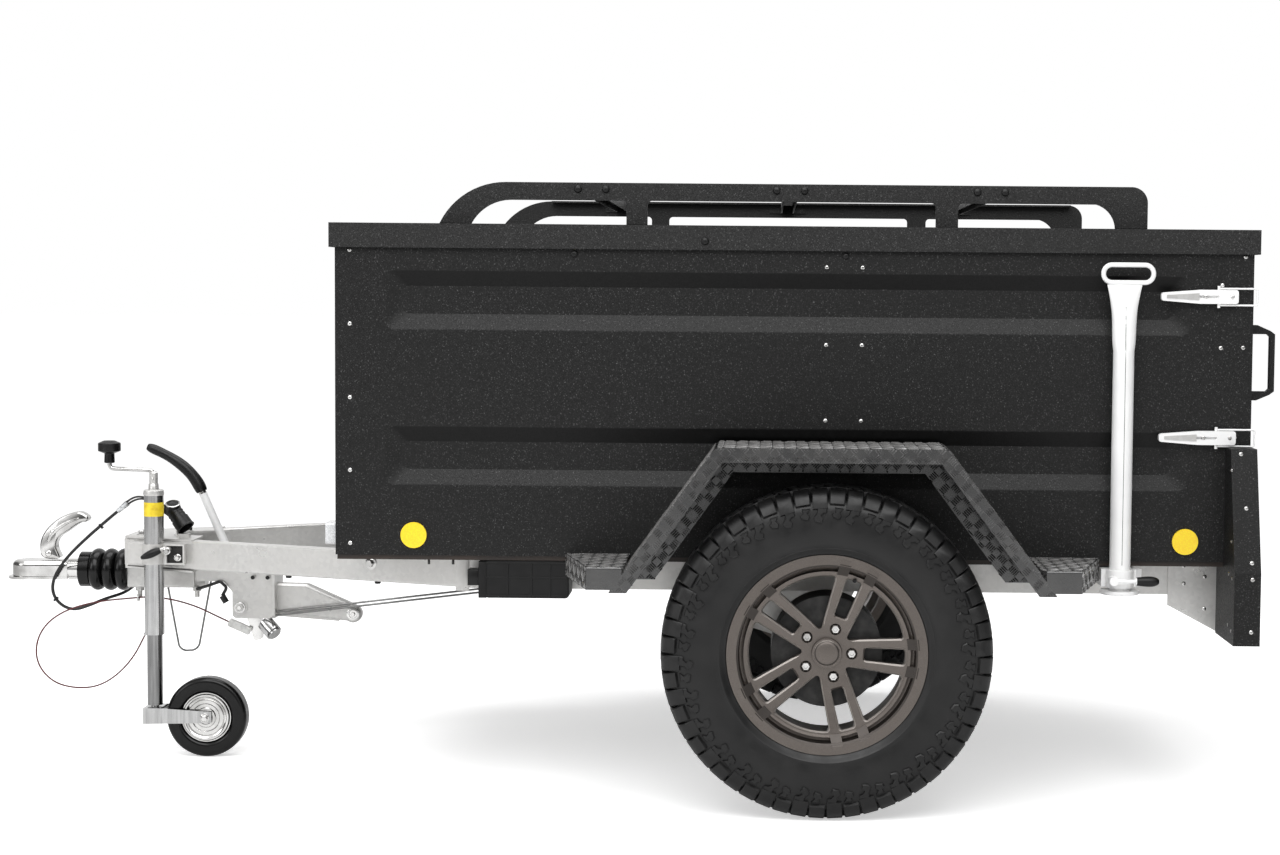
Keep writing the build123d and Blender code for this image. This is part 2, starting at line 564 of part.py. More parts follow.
def keep_cord(name, route, diameter):
    """Keep a round cord of straight runs joined by arcs; the route's X is measured from the axle."""
    corners = [from_axle(point) for point in route]
    runs = [end - start for start, end in zip(corners, corners[1:])]
    radii = [0.45 * min(before.length, after.length) / tan(radians(before.get_angle(after) / 2))
             for before, after in zip(runs, runs[1:])]
    with BuildPart() as cord:
        with BuildLine() as centre:
            FilletPolyline(*corners, radius=radii)
        with BuildSketch(Plane(origin=centre.line @ 0, z_dir=centre.line % 0)) as section:
            Circle(diameter / 2)
        sweep()
    length = sum(edge.length for edge in centre.edges())
    solid_share = cord.part.volume / (section.sketch.area * length)
    print(name, "length", round(length), "radii", [round(radius) for radius in radii],
          "longest run", round(max(run.length for run in runs)), "volume share", round(solid_share, 4))
    keep(name, cord)


ELECTRICAL_ROUTE = ((-1762, 44, 418), (-1784, 44, 398), (-1808, 34, 381), (-1848, 16, 370),
                    (-1890, -2, 352), (-1922, -13, 343), (-1950, -20, 354), (-1968, -30, 379),
                    (-1970, -39, 410), (-1955, -47, 446), (-1922, -54, 489), (-1879, -60, 530),
                    (-1833, -66, 570), (-1789, -73, 606))
CLIP_MOUTH = from_axle(ELECTRICAL_ROUTE[0])
with BuildPart() as cable_clip:
    with BuildSketch(Plane(origin=CLIP_MOUTH, z_dir=(22, 0, 20))):
        Circle(9)
    extrude(amount=24)
    with Locations((CLIP_MOUTH.X + 16, HOUSING_WIDTH / 2 + 6, CLIP_MOUTH.Z + 16)):
        Box(24, 12, 22)
keep("cable_clip", cable_clip)
keep_cord("electrical_cable", ELECTRICAL_ROUTE, 8)

SLEEVE_START = from_axle(ELECTRICAL_ROUTE[-1])
SLEEVE_RUN = SLEEVE_START - from_axle(ELECTRICAL_ROUTE[-2])
with BuildPart() as cable_sleeve:
    for along, sleeve_radius in ((0, 5.5), (34, 8)):
        with BuildSketch(Plane(origin=SLEEVE_START + SLEEVE_RUN.normalized() * along, z_dir=SLEEVE_RUN)):
            Circle(sleeve_radius)
    loft()
keep("cable_sleeve", cable_sleeve)

keep_cord("plug_lead_upper", ((-1765, -77, 630), (-1749, -79.5, 643), (-1721, -84, 645),
                              (-1694, -89, 635), (-1672, -92, 620)), 5)
keep_cord("plug_lead_lower", ((-1760.5, -77.6, 625.4), (-1743, -85, 637), (-1717, -95, 641),
                              (-1693, -101, 634), (-1672, -102, 620)), 5)

PLUG_TOP = from_axle((-1648, -92, 619))
PLUG_MOUTH = from_axle((-1606, -111, 569))
PLUG_RUN = PLUG_MOUTH - PLUG_TOP
PLUG_CAP = from_axle((-1642, -97, 616))
PLUG_NECK = from_axle((-1672, -97, 620))
with BuildPart() as trailer_plug:
    with BuildSketch(Plane(origin=PLUG_TOP, z_dir=PLUG_RUN)):
        Circle(19)
    with BuildSketch(Plane(origin=PLUG_TOP + PLUG_RUN * 0.6, z_dir=PLUG_RUN)):
        Circle(20)
    loft()
    with BuildSketch(Plane(origin=PLUG_TOP + PLUG_RUN * 0.6, z_dir=PLUG_RUN)):
        Circle(22.5)
    extrude(amount=PLUG_RUN.length * 0.4)
    with BuildSketch(Plane(origin=PLUG_MOUTH, z_dir=-PLUG_RUN)):
        Circle(19)
    extrude(amount=20, mode=Mode.SUBTRACT)
    with BuildSketch(Plane(origin=PLUG_CAP, z_dir=(0.05, -0.42, 0.9))):
        Circle(18.5)
    extrude(amount=14)
    with BuildSketch(Plane(origin=PLUG_NECK, z_dir=(0.83, 0, -0.55))):
        Circle(10)
    extrude(amount=26)
keep("trailer_plug", trailer_plug)

TAG_CENTRE = (AXLE_X - 1494, 304)
TAG_DROP = 24                     # degrees
with BuildPart() as breakaway_tag:
    with BuildSketch(side_view(-8)):
        with Locations(TAG_CENTRE):
            Rectangle(60, 20, rotation=-TAG_DROP)
    extrude(amount=14)
    fillet(breakaway_tag.edges().filter_by(Axis.Y), 3)
keep("breakaway_tag", breakaway_tag)

BREAKAWAY_ROUTE = ((-1521, -15, 316), (-1555, -16, 332), (-1599, -19, 354), (-1651, -22, 371),
                   (-1697, -21, 378), (-1728, -17, 380), (-1782, -11, 374), (-1838, -14, 369),
                   (-1890, -26, 360), (-1938, -36, 344), (-1975, -42, 320), (-2000, -45, 288),
                   (-2011, -46, 250), (-2008, -45, 213), (-1991, -40, 180), (-1961, -30, 153),
                   (-1920, -8, 139), (-1880, 20, 137), (-1845, 43, 153), (-1815, 56, 180),
                   (-1789, 60, 213), (-1771, 56, 244), (-1757, 50, 270))
keep_cord("breakaway_cable", BREAKAWAY_ROUTE, 4)

CRIMP_LENGTH = 44
HOOK_LENGTH = 84
HOOK_BAR = 5
CRIMP_START = from_axle(BREAKAWAY_ROUTE[-1])
CRIMP_RUN = (CRIMP_START - from_axle(BREAKAWAY_ROUTE[-2])).normalized()
CRIMP_END = CRIMP_START + CRIMP_RUN * CRIMP_LENGTH
HOOK_AXIS = (HOOK_LUG - CRIMP_END).normalized()
with BuildPart() as breakaway_hook:
    with BuildSketch(Plane(origin=CRIMP_START, z_dir=CRIMP_RUN)):
        Circle(4)
    extrude(amount=CRIMP_LENGTH)
    hook_plane = Plane(origin=HOOK_LUG - HOOK_AXIS * (HOOK_LENGTH / 2 - HOOK_BAR / 2 - 2),
                       x_dir=HOOK_AXIS, z_dir=HOOK_AXIS.cross(Vector(0, 1, 0)))
    with BuildSketch(hook_plane.offset(-HOOK_BAR / 2)):
        SlotOverall(HOOK_LENGTH, 30)
        SlotOverall(HOOK_LENGTH - 2 * HOOK_BAR, 30 - 2 * HOOK_BAR, mode=Mode.SUBTRACT)
    extrude(amount=HOOK_BAR)
keep("breakaway_hook", breakaway_hook)

# ---------------------------------------------------------------- box
FLOOR_TOP = 570
GATE_GAP = 5
GATE_FRONT = BOX_REAR - 25
GATE_REAR = BOX_REAR - 2
POST_REAR = GATE_FRONT - GATE_GAP
POST_DEPTH = 30
POST_WIDTH = 25
SWAGE_Z = (1152, 794)
SWAGE_LENGTH = 1846
SWAGE_MID_X = AXLE_X - 94
SWAGE_HEIGHT = 136
SWAGE_DEPTH = 15
SWAGE_BEVEL = 36
SWAGE_BLEND = 10
TOP_FLANGE = 25
FRONT_FLANGE = 40

with BuildPart() as floor_panel:
    with BuildSketch(Plane.XY.offset(RAIL_TOP)):
        with Locations(((BOX_FRONT + SHEET + POST_REAR) / 2, 0)):
            Rectangle(POST_REAR - BOX_FRONT - SHEET, 2 * (BOX_SIDE - 2 * SHEET))
    extrude(amount=FLOOR_TOP - RAIL_TOP)
keep("floor_panel", floor_panel)


def swage_outline(y, z, inset):
    """One outline of a pressed swage, shrunk all round by inset."""
    with BuildSketch(side_view(y)) as outline:
        with Locations((SWAGE_MID_X, z)):
            RectangleRounded(SWAGE_LENGTH - 2 * inset, SWAGE_HEIGHT - 2 * inset, 20)
    return outline.sketch


with BuildPart() as side_panel:
    with BuildSketch(side_view(-BOX_SIDE)):
        with Locations(((BOX_FRONT + BOX_REAR) / 2, (PANEL_BOTTOM + PANEL_TOP) / 2)):
            Rectangle(BOX_REAR - BOX_FRONT, PANEL_TOP - PANEL_BOTTOM)
    extrude(amount=-SHEET)
    for swage_z in SWAGE_Z:
        for skin, mode in ((SHEET, Mode.ADD), (0, Mode.SUBTRACT)):
            mouth = swage_outline(-BOX_SIDE + skin, swage_z, 0)
            bed = swage_outline(-BOX_SIDE + skin + SWAGE_DEPTH, swage_z, SWAGE_BEVEL)
            loft([mouth, bed], mode=mode)
    swage_edges = side_panel.edges().filter_by(Axis.X).filter_by_position(
        Axis.Y, -BOX_SIDE - 0.1, -BOX_SIDE + 0.1).filter_by_position(
        Axis.Z, PANEL_BOTTOM + 10, PANEL_TOP - 10)
    fillet(swage_edges, SWAGE_BLEND)
    with BuildSketch(Plane.XY.offset(PANEL_TOP)):
        with Locations(((BOX_FRONT + TOP_FLANGE + BOX_REAR) / 2, -BOX_SIDE + SHEET + TOP_FLANGE / 2)):
            Rectangle(BOX_REAR - BOX_FRONT - TOP_FLANGE, TOP_FLANGE)
    extrude(amount=-SHEET)
    with BuildSketch(Plane.XY.offset(FLOOR_TOP)):
        with Locations((POST_REAR - POST_DEPTH / 2, -BOX_SIDE + SHEET + POST_WIDTH / 2)):
            Rectangle(POST_DEPTH, POST_WIDTH)
    extrude(amount=PANEL_TOP - SHEET - FLOOR_TOP)
keep_pair("side_panel", side_panel)

LID_HINGE_X = BOX_FRONT - LID_LAP - 3
LID_HINGE_Z = 1262
LID_HINGE_Y = 420
LID_PIN_RADIUS = 4
KNUCKLE_RADIUS = 9
KNUCKLE_LENGTH = 40

with BuildPart() as front_panel:
    with BuildSketch(Plane.XY.offset(PANEL_BOTTOM)):
        with Locations((BOX_FRONT + FRONT_FLANGE / 2, 0)):
            Rectangle(FRONT_FLANGE, 2 * (BOX_SIDE - SHEET))
        with Locations((BOX_FRONT + SHEET + FRONT_FLANGE / 2, 0)):
            Rectangle(FRONT_FLANGE, 2 * (BOX_SIDE - 2 * SHEET), mode=Mode.SUBTRACT)
    extrude(amount=PANEL_TOP - SHEET - PANEL_BOTTOM)
    with BuildSketch(Plane.XY.offset(PANEL_TOP)):
        with Locations((BOX_FRONT + TOP_FLANGE / 2, 0)):
            Rectangle(TOP_FLANGE, 2 * (BOX_SIDE - SHEET))
    extrude(amount=-SHEET)
keep("front_panel", front_panel)

with BuildPart() as lid_hinges:
    for side in (-1, 1):
        with BuildSketch(side_view(side * LID_HINGE_Y + KNUCKLE_LENGTH / 2)):
            with Locations((LID_HINGE_X, LID_HINGE_Z)):
                Circle(KNUCKLE_RADIUS)
            with Locations(((LID_HINGE_X + BOX_FRONT) / 2, LID_HINGE_Z - KNUCKLE_RADIUS + 2)):
                Rectangle(BOX_FRONT - LID_HINGE_X, 4)
            with Locations((BOX_FRONT - 1.5, LID_HINGE_Z - 30)):
                Rectangle(3, 50)
            with Locations((LID_HINGE_X, LID_HINGE_Z)):
                Circle(LID_PIN_RADIUS + RUNNING_GAP, mode=Mode.SUBTRACT)
        extrude(amount=KNUCKLE_LENGTH)
keep("lid_hinges", lid_hinges)

# ---------------------------------------------------------------- lid
LID_FRONT = BOX_FRONT - LID_LAP
LID_REAR = BOX_REAR + LID_LAP
LID_SIDE = BOX_SIDE + LID_LAP

with BuildPart() as lid_panel:
    with BuildSketch(Plane.XY.offset(LID_TOP)):
        with Locations(((LID_FRONT + LID_REAR) / 2, 0)):
            Rectangle(LID_REAR - LID_FRONT, 2 * LID_SIDE)
    extrude(amount=-LID_DEPTH)
    with BuildSketch(Plane.XY.offset(LID_TOP - SHEET)):
        with Locations(((LID_FRONT + LID_REAR) / 2, 0)):
            Rectangle(LID_REAR - LID_FRONT - 2 * SHEET, 2 * (LID_SIDE - SHEET))
    extrude(amount=-LID_DEPTH, mode=Mode.SUBTRACT)
    for side in (-1, 1):
        for step in (-1, 1):
            start = side * LID_HINGE_Y + step * (KNUCKLE_LENGTH / 2 + 2) + (KNUCKLE_LENGTH / 2 if step > 0 else 0)
            with BuildSketch(side_view(start)):
                with Locations((LID_HINGE_X, LID_HINGE_Z)):
                    Circle(KNUCKLE_RADIUS)
                with Locations((LID_FRONT - 1.5, LID_HINGE_Z + 20)):
                    Rectangle(3, 40)
            extrude(amount=KNUCKLE_LENGTH / 2)
        with BuildSketch(side_view(side * LID_HINGE_Y + KNUCKLE_LENGTH / 2 + 5)):
            with Locations((LID_HINGE_X, LID_HINGE_Z)):
                Circle(LID_PIN_RADIUS)
        extrude(amount=KNUCKLE_LENGTH + 10)
keep("lid_panel", lid_panel)

RAIL_PLATE_Y = 553
RAIL_PLATE = 4
ROOF_RAIL_TOP = 1425
BAND_BOTTOM = 1384
FOOT_FRONT = AXLE_X - 900
FOOT_FRONT_END = AXLE_X - 826
BAND_FRONT = AXLE_X - 745
BAND_REAR = AXLE_X + 736
RAIL_POSTS = ((AXLE_X - 467, AXLE_X - 418), (AXLE_X + 247, AXLE_X + 299))
REAR_LEG = AXLE_X + 661
RAIL_FLANGE = 30                  # inward flange along the top of each rail
RAIL_FLANGE_SHEET = 5
FLANGE_END = AXLE_X + 701
OPENING_CORNER = 10
CROSSBAR_X = (AXLE_X - 547, AXLE_X - 88, AXLE_X + 375)
CROSSBAR_WIDTH = 36
CROSSBAR_PLATE = 100              # width of the bolted plate at each end of a crossbar
CROSSBAR_DEPTH = 24

with BuildPart() as roof_rails:
    with BuildSketch(side_view(-RAIL_PLATE_Y + RAIL_PLATE)):
        with BuildLine():
            front_bow = RadiusArc((FOOT_FRONT, LID_TOP), (BAND_FRONT, ROOF_RAIL_TOP), 171)
            Line(front_bow @ 1, (BAND_REAR - 37, ROOF_RAIL_TOP))
            rear_bow = RadiusArc((BAND_REAR - 37, ROOF_RAIL_TOP), (BAND_REAR, ROOF_RAIL_TOP - 37), 37)
            Polyline(rear_bow @ 1, (BAND_REAR, LID_TOP), (FOOT_FRONT, LID_TOP))
        make_face()
        with BuildLine():
            inner_bow = RadiusArc((FOOT_FRONT_END, LID_TOP), (FOOT_FRONT_END + 93, BAND_BOTTOM), 105)
            Polyline(inner_bow @ 1, (RAIL_POSTS[0][0], BAND_BOTTOM), (RAIL_POSTS[0][0], LID_TOP),
                     inner_bow @ 0)
        make_face(mode=Mode.SUBTRACT)
        with Locations(((RAIL_POSTS[0][1] + RAIL_POSTS[1][0]) / 2, (LID_TOP + BAND_BOTTOM) / 2)):
            Rectangle(RAIL_POSTS[1][0] - RAIL_POSTS[0][1], BAND_BOTTOM - LID_TOP, mode=Mode.SUBTRACT)
        with BuildLine():
            leg_bow = RadiusArc((REAR_LEG - 44, BAND_BOTTOM), (REAR_LEG, LID_TOP), 60)
            Polyline(leg_bow @ 1, (RAIL_POSTS[1][1], LID_TOP), (RAIL_POSTS[1][1], BAND_BOTTOM),
                     leg_bow @ 0)
        make_face(mode=Mode.SUBTRACT)
    extrude(amount=RAIL_PLATE)
    corners = roof_rails.edges().filter_by(Axis.Y).filter_by_position(
        Axis.Z, BAND_BOTTOM - 0.5, BAND_BOTTOM + 0.5).filter_by_position(
        Axis.X, RAIL_POSTS[0][0] - 1, RAIL_POSTS[1][1] + 1)
    fillet(corners, OPENING_CORNER)
    feet = roof_rails.edges().filter_by(Axis.X).filter_by_position(
        Axis.Z, LID_TOP - 0.1, LID_TOP + 0.1).filter_by_position(
        Axis.Y, -RAIL_PLATE_Y - 0.1, -RAIL_PLATE_Y + 0.1)
    fillet(feet, RAIL_PLATE - 0.5)
    with BuildSketch(side_view(-RAIL_PLATE_Y + RAIL_FLANGE)):
        with Locations(((BAND_FRONT + FLANGE_END) / 2, ROOF_RAIL_TOP - RAIL_FLANGE_SHEET / 2)):
            Rectangle(FLANGE_END - BAND_FRONT, RAIL_FLANGE_SHEET)
    extrude(amount=RAIL_FLANGE)
    for bar_x in CROSSBAR_X:
        with BuildSketch(side_view(-RAIL_PLATE_Y + 2 * RAIL_PLATE)):
            with Locations((bar_x, ROOF_RAIL_TOP - RAIL_FLANGE_SHEET - CROSSBAR_DEPTH / 2)):
                Rectangle(CROSSBAR_PLATE, CROSSBAR_DEPTH)
        extrude(amount=RAIL_PLATE)
    mirror(about=Plane.XZ)
    for bar_x in CROSSBAR_X:
        with BuildSketch(side_view(RAIL_PLATE_Y - 2 * RAIL_PLATE)):
            with Locations((bar_x, ROOF_RAIL_TOP - RAIL_FLANGE_SHEET - CROSSBAR_DEPTH / 2)):
                Rectangle(CROSSBAR_WIDTH, CROSSBAR_DEPTH)
            with Locations((bar_x, ROOF_RAIL_TOP - RAIL_FLANGE_SHEET - RAIL_PLATE - CROSSBAR_DEPTH / 2)):
                Rectangle(CROSSBAR_WIDTH - 2 * RAIL_PLATE, CROSSBAR_DEPTH, mode=Mode.SUBTRACT)
        extrude(amount=2 * (RAIL_PLATE_Y - 2 * RAIL_PLATE))
keep("roof_rails", roof_rails)

# ---------------------------------------------------------------- tailgate
GATE_SIDE = BOX_SIDE - SHEET - GATE_GAP
GATE_BOTTOM = 578
GATE_TOP = 1264
GATE_HINGE_X = BOX_REAR + 6
GATE_HINGE_Z = 566
GATE_HINGE_Y = 400
GATE_PIN_RADIUS = 5

with BuildPart() as tailgate_panel:
    with BuildSketch(Plane.YZ.offset(GATE_FRONT)):
        with Locations((0, (GATE_BOTTOM + GATE_TOP) / 2)):
            Rectangle(2 * GATE_SIDE, GATE_TOP - GATE_BOTTOM)
    extrude(amount=GATE_REAR - GATE_FRONT)
    with BuildSketch(Plane.YZ.offset(GATE_FRONT)):
        with Locations((0, (GATE_BOTTOM + GATE_TOP) / 2)):
            Rectangle(2 * GATE_SIDE - 60, GATE_TOP - GATE_BOTTOM - 60)
    extrude(amount=GATE_REAR - GATE_FRONT - SHEET, mode=Mode.SUBTRACT)
    for side in (-1, 1):
        for step in (-1, 1):
            start = side * GATE_HINGE_Y + step * (KNUCKLE_LENGTH / 2 + 2) + (KNUCKLE_LENGTH / 2 if step > 0 else 0)
            with BuildSketch(side_view(start)):
                with Locations((GATE_HINGE_X, GATE_HINGE_Z)):
                    Circle(KNUCKLE_RADIUS)
                with Locations((GATE_REAR + 1.5, GATE_HINGE_Z + 35)):
                    Rectangle(3, 60)
                with Locations(((GATE_REAR + GATE_HINGE_X) / 2, GATE_HINGE_Z + 7)):
                    Rectangle(GATE_HINGE_X - GATE_REAR, 4)
            extrude(amount=KNUCKLE_LENGTH / 2)
        with BuildSketch(side_view(side * GATE_HINGE_Y + KNUCKLE_LENGTH / 2 + 5)):
            with Locations((GATE_HINGE_X, GATE_HINGE_Z)):
                Circle(GATE_PIN_RADIUS)
        extrude(amount=KNUCKLE_LENGTH + 10)
keep("tailgate_panel", tailgate_panel)

with BuildPart() as tailgate_hinges:
    for side in (-1, 1):
        with BuildSketch(side_view(side * GATE_HINGE_Y + KNUCKLE_LENGTH / 2)):
            with Locations((GATE_HINGE_X, GATE_HINGE_Z)):
                Circle(KNUCKLE_RADIUS)
            with Locations((GATE_HINGE_X - 12, GATE_HINGE_Z - 7)):
                Rectangle(24, 4)
            with Locations((FRAME_REAR + 21.5, GATE_HINGE_Z - 36)):
                Rectangle(43, 42)
            with Locations((FRAME_REAR + 40, GATE_HINGE_Z - 12)):
                Rectangle(6, 14)
            with Locations((GATE_HINGE_X, GATE_HINGE_Z)):
                Circle(GATE_PIN_RADIUS + RUNNING_GAP, mode=Mode.SUBTRACT)
        extrude(amount=KNUCKLE_LENGTH)
keep("tailgate_hinges", tailgate_hinges)

HANDLE_Y = 560
HANDLE_Z = (936, 1110)
HANDLE_ROOT_LENGTH = 19
HANDLE_ROOT_HEIGHT = 21
HANDLE_STRAP = 11
HANDLE_SLOPE = 13                 # how far each arm drops on its way to the bar
with BuildPart() as tailgate_handles:
    with BuildSketch(side_view(-HANDLE_Y + 10)):
        root = GATE_REAR + HANDLE_ROOT_LENGTH
        for end, step in ((HANDLE_Z[1], -1), (HANDLE_Z[0], 1)):
            inner = end + step * HANDLE_ROOT_HEIGHT
            with BuildLine():
                Polyline((GATE_REAR, end), (root, end), (HANDLE_END_X - HANDLE_STRAP, end + step * HANDLE_SLOPE),
                         (HANDLE_END_X, end + step * (HANDLE_SLOPE + 8)),
                         (HANDLE_END_X, (HANDLE_Z[0] + HANDLE_Z[1]) / 2),
                         (HANDLE_END_X - HANDLE_STRAP, (HANDLE_Z[0] + HANDLE_Z[1]) / 2),
                         (HANDLE_END_X - HANDLE_STRAP, inner + step * 6), (HANDLE_END_X - HANDLE_STRAP - 6, inner),
                         (GATE_REAR, inner), close=True)
            make_face()
    extrude(amount=20)
    mirror(about=Plane.XZ)
keep("tailgate_handles", tailgate_handles)

# ---------------------------------------------------------------- fenders and chocks
FENDER_SIDE = 850
FENDER_LIP = 32
FENDER_FLANGE = 72
FENDER_TOP = 834
FENDER_BEND = 20
FENDER_FOOT = 512
STEP_TOP = 570
STEP_FOOT = 519
FENDER_LINE = ((AXLE_X - 484, FENDER_FOOT), (AXLE_X - 251, FENDER_TOP),
               (AXLE_X + 263, FENDER_TOP), (AXLE_X + 505, FENDER_FOOT))


def arch_band(y, depth):
    """The fender's outline in side view, as a band of the given depth below its outer line."""
    with BuildSketch(side_view(y)) as outline:
        with BuildLine():
            FilletPolyline(*FENDER_LINE, radius=FENDER_BEND)
            Polyline(FENDER_LINE[-1], (AXLE_X + 505, 300), (AXLE_X - 484, 300), FENDER_LINE[0])
        make_face()
        offset(amount=-depth, mode=Mode.SUBTRACT)
        with Locations((AXLE_X, FENDER_FOOT + 200)):
            Rectangle(1400, 400, mode=Mode.INTERSECT)
    return outline.sketch


STEP_PLANS = (((AXLE_X - 600, BOX_SIDE), (AXLE_X - 533, FENDER_SIDE), (AXLE_X - 455, FENDER_SIDE),
               (AXLE_X - 455, BOX_SIDE)),
              ((AXLE_X + 480, BOX_SIDE), (AXLE_X + 480, FENDER_SIDE), (AXLE_X + 558, FENDER_SIDE),
               (AXLE_X + 631, BOX_SIDE)))

with BuildPart() as fender_steps:
    for plan in STEP_PLANS:
        with BuildSketch(Plane.XY.offset(STEP_FOOT)):
            with BuildLine():
                Polyline(*[(x, -y) for x, y in plan], close=True)
            make_face()
        extrude(amount=STEP_TOP - STEP_FOOT)
    fillet(fender_steps.edges().group_by(Axis.Z)[-1], 5)
    with BuildSketch(side_view(-BOX_SIDE)):
        with BuildLine():
            FilletPolyline(*FENDER_LINE, radius=FENDER_BEND)
            Line(FENDER_LINE[-1], FENDER_LINE[0])
        make_face()
    extrude(amount=FENDER_SIDE - BOX_SIDE, mode=Mode.SUBTRACT)
    mirror(about=Plane.XZ)
keep("fender_steps", fender_steps)

with BuildPart() as fender:
    extrude(arch_band(-BOX_SIDE, SHEET), amount=FENDER_SIDE - BOX_SIDE)
    extrude(arch_band(-FENDER_SIDE + SHEET, FENDER_LIP), amount=SHEET)
    extrude(arch_band(-BOX_SIDE, FENDER_FLANGE), amount=SHEET)
keep_pair("fender", fender)

CHOCK_X = (AXLE_X - 788, AXLE_X - 592)
with BuildPart() as wheel_chocks:
    with BuildSketch(side_view(-RAIL_Y - RAIL_WIDTH / 2)):
        with Locations(((CHOCK_X[0] + CHOCK_X[1]) / 2, 508)):
            RectangleRounded(CHOCK_X[1] - CHOCK_X[0], 86, 10)
    extrude(amount=80)
    mirror(about=Plane.XZ)
keep("wheel_chocks", wheel_chocks)

# ---------------------------------------------------------------- axle
ARM_Y = (485, 525)
TORSION_END = 470
DRUM_Y = (650, 757)
DRUM_RADIUS = 125
with BuildPart() as axle_beam:
    with BuildSketch(side_view(TORSION_END)):
        with Locations((AXLE_TUBE_X, AXLE_TUBE_Z)):
            RectangleRounded(BEAM_TUBE, BEAM_TUBE, 8)
    extrude(amount=2 * TORSION_END)
    with BuildSketch(side_view(-TORSION_END)):
        with Locations((AXLE_TUBE_X, AXLE_TUBE_Z)):
            Circle(28)
    extrude(amount=ARM_Y[1] - TORSION_END)
    with BuildSketch(side_view(-ARM_Y[0])):
        with Locations((AXLE_TUBE_X, AXLE_TUBE_Z)):
            Circle(42)
        with Locations((AXLE_X, WHEEL_RADIUS)):
            Circle(34)
        make_hull()
    extrude(amount=ARM_Y[1] - ARM_Y[0])
    with BuildSketch(side_view(-ARM_Y[1])):
        with Locations((AXLE_X, WHEEL_RADIUS)):
            Circle(34)
    extrude(amount=640 - ARM_Y[1])
    with BuildSketch(side_view(-640)):
        with Locations((AXLE_X, WHEEL_RADIUS)):
            Circle(DRUM_RADIUS)
    extrude(amount=4)
    with BuildSketch(side_view(-640)):
        with Locations((AXLE_X, WHEEL_RADIUS)):
            Circle(SPINDLE_RADIUS)
    extrude(amount=105)
    for side in (-1, 1):
        with Locations((AXLE_TUBE_X, side * 400, (AXLE_TUBE_Z + BEAM_TUBE / 2 + RAIL_BOTTOM) / 2)):
            Box(120, 60, RAIL_BOTTOM - AXLE_TUBE_Z - BEAM_TUBE / 2)
    mirror(about=Plane.XZ)
keep("axle_beam", axle_beam)

# ---------------------------------------------------------------- road wheels
HUB_FACE = 30                     # mounting face of the wheel, outboard of its centre plane
SPOKE_PAIRS = 5
SPOKE_ANGLE = -2
SPOKE_BEVEL = 3.5
SPOKE_TIP = 216                   # how far the spokes reach out over the lip of the rim
BOLT_CIRCLE_RADIUS = 56
BOLT_HOLE_RADIUS = 7.5
BOLT_POCKET_RADIUS = 13
WINDOW_RADIUS = 174
DISH = ((50, 60), (74, 180))      # spoke face at hub and at rim, as (distance outboard, radius)
wheel_axis = Axis((AXLE_X, 0, WHEEL_RADIUS), (0, 1, 0))


def wheel_section(points):
    """Close a profile given as (distance outboard of the wheel's centre plane, radius)."""
    with BuildSketch(Plane.YZ.offset(AXLE_X)) as section:
        with BuildLine():
            Polyline(*[(-WHEEL_Y - out, WHEEL_RADIUS + radius) for out, radius in points], close=True)
        make_face()
    return section.sketch


def wheel_radius(place):
    """Distance of a point from the wheel's axis."""
    return hypot(place.X - AXLE_X, place.Z - WHEEL_RADIUS)


def on_dish(edge):
    """True for a window edge that lies in the sloping front face of the spokes."""
    (hub_out, hub_radius), (rim_out, rim_radius) = DISH
    slope = (rim_out - hub_out) / (rim_radius - hub_radius)
    for share in (0, 0.5, 1):
        radius = wheel_radius(edge @ share)
        outboard = -WHEEL_Y - (edge @ share).Y
        in_face = abs(outboard - hub_out - (radius - hub_radius) * slope) < 0.3
        if not in_face or not hub_radius + 1 < radius < rim_radius - 1:
            return False
    return True


def wheel_windows():
    """Slots between the twin spokes and wide windows between the pairs, with rounded corners."""
    with BuildSketch(side_view(-WHEEL_Y)) as windows:
        with Locations((AXLE_X, WHEEL_RADIUS)):
            with PolarLocations(0, SPOKE_PAIRS, start_angle=SPOKE_ANGLE):
                Polygon((84, -14), (84, 14), (220, 19), (220, -19), align=None)
            with PolarLocations(0, SPOKE_PAIRS, start_angle=SPOKE_ANGLE + 180 / SPOKE_PAIRS):
                Polygon((50, 0), (220, 100), (220, -100), align=None)
            Circle(WINDOW_RADIUS, mode=Mode.INTERSECT)
        corners = windows.vertices()
        fillet(corners.filter_by(lambda corner: wheel_radius(corner) < 60), 20)
        fillet(corners.filter_by(lambda corner: 60 < wheel_radius(corner) < 100), 11)
        fillet(corners.filter_by(lambda corner: wheel_radius(corner) > 165), 6)
    return windows.sketch


with BuildPart() as tyre:
    revolve(wheel_section(((0, 373), (62, 371), (88, 361), (99, 335), (103, 288), (100, 245),
                           (92, 230), (82, 227), (82, 207), (70, 206), (76, 230), (89, 250),
                           (92, 288), (88, 325), (70, 350), (0, 358))), axis=wheel_axis)
    mirror(about=Plane.XZ.offset(WHEEL_Y))
keep_pair("tyre", tyre)

with BuildPart() as spoke_tips:
    revolve(wheel_section(((62, 184), (62, 200), (86, 202), (86, SPOKE_TIP), (90.4, SPOKE_TIP),
                           (91.5, 206), (77, 180))), axis=wheel_axis)
    with BuildSketch(side_view(-WHEEL_Y)):
        with Locations((AXLE_X, WHEEL_RADIUS)):
            with PolarLocations(0, SPOKE_PAIRS, start_angle=SPOKE_ANGLE):
                Polygon((170, 18), (170, 42), (230, 46), (230, 20), align=None)
                Polygon((170, -42), (170, -18), (230, -20), (230, -46), align=None)
    extrude(amount=100, mode=Mode.INTERSECT)

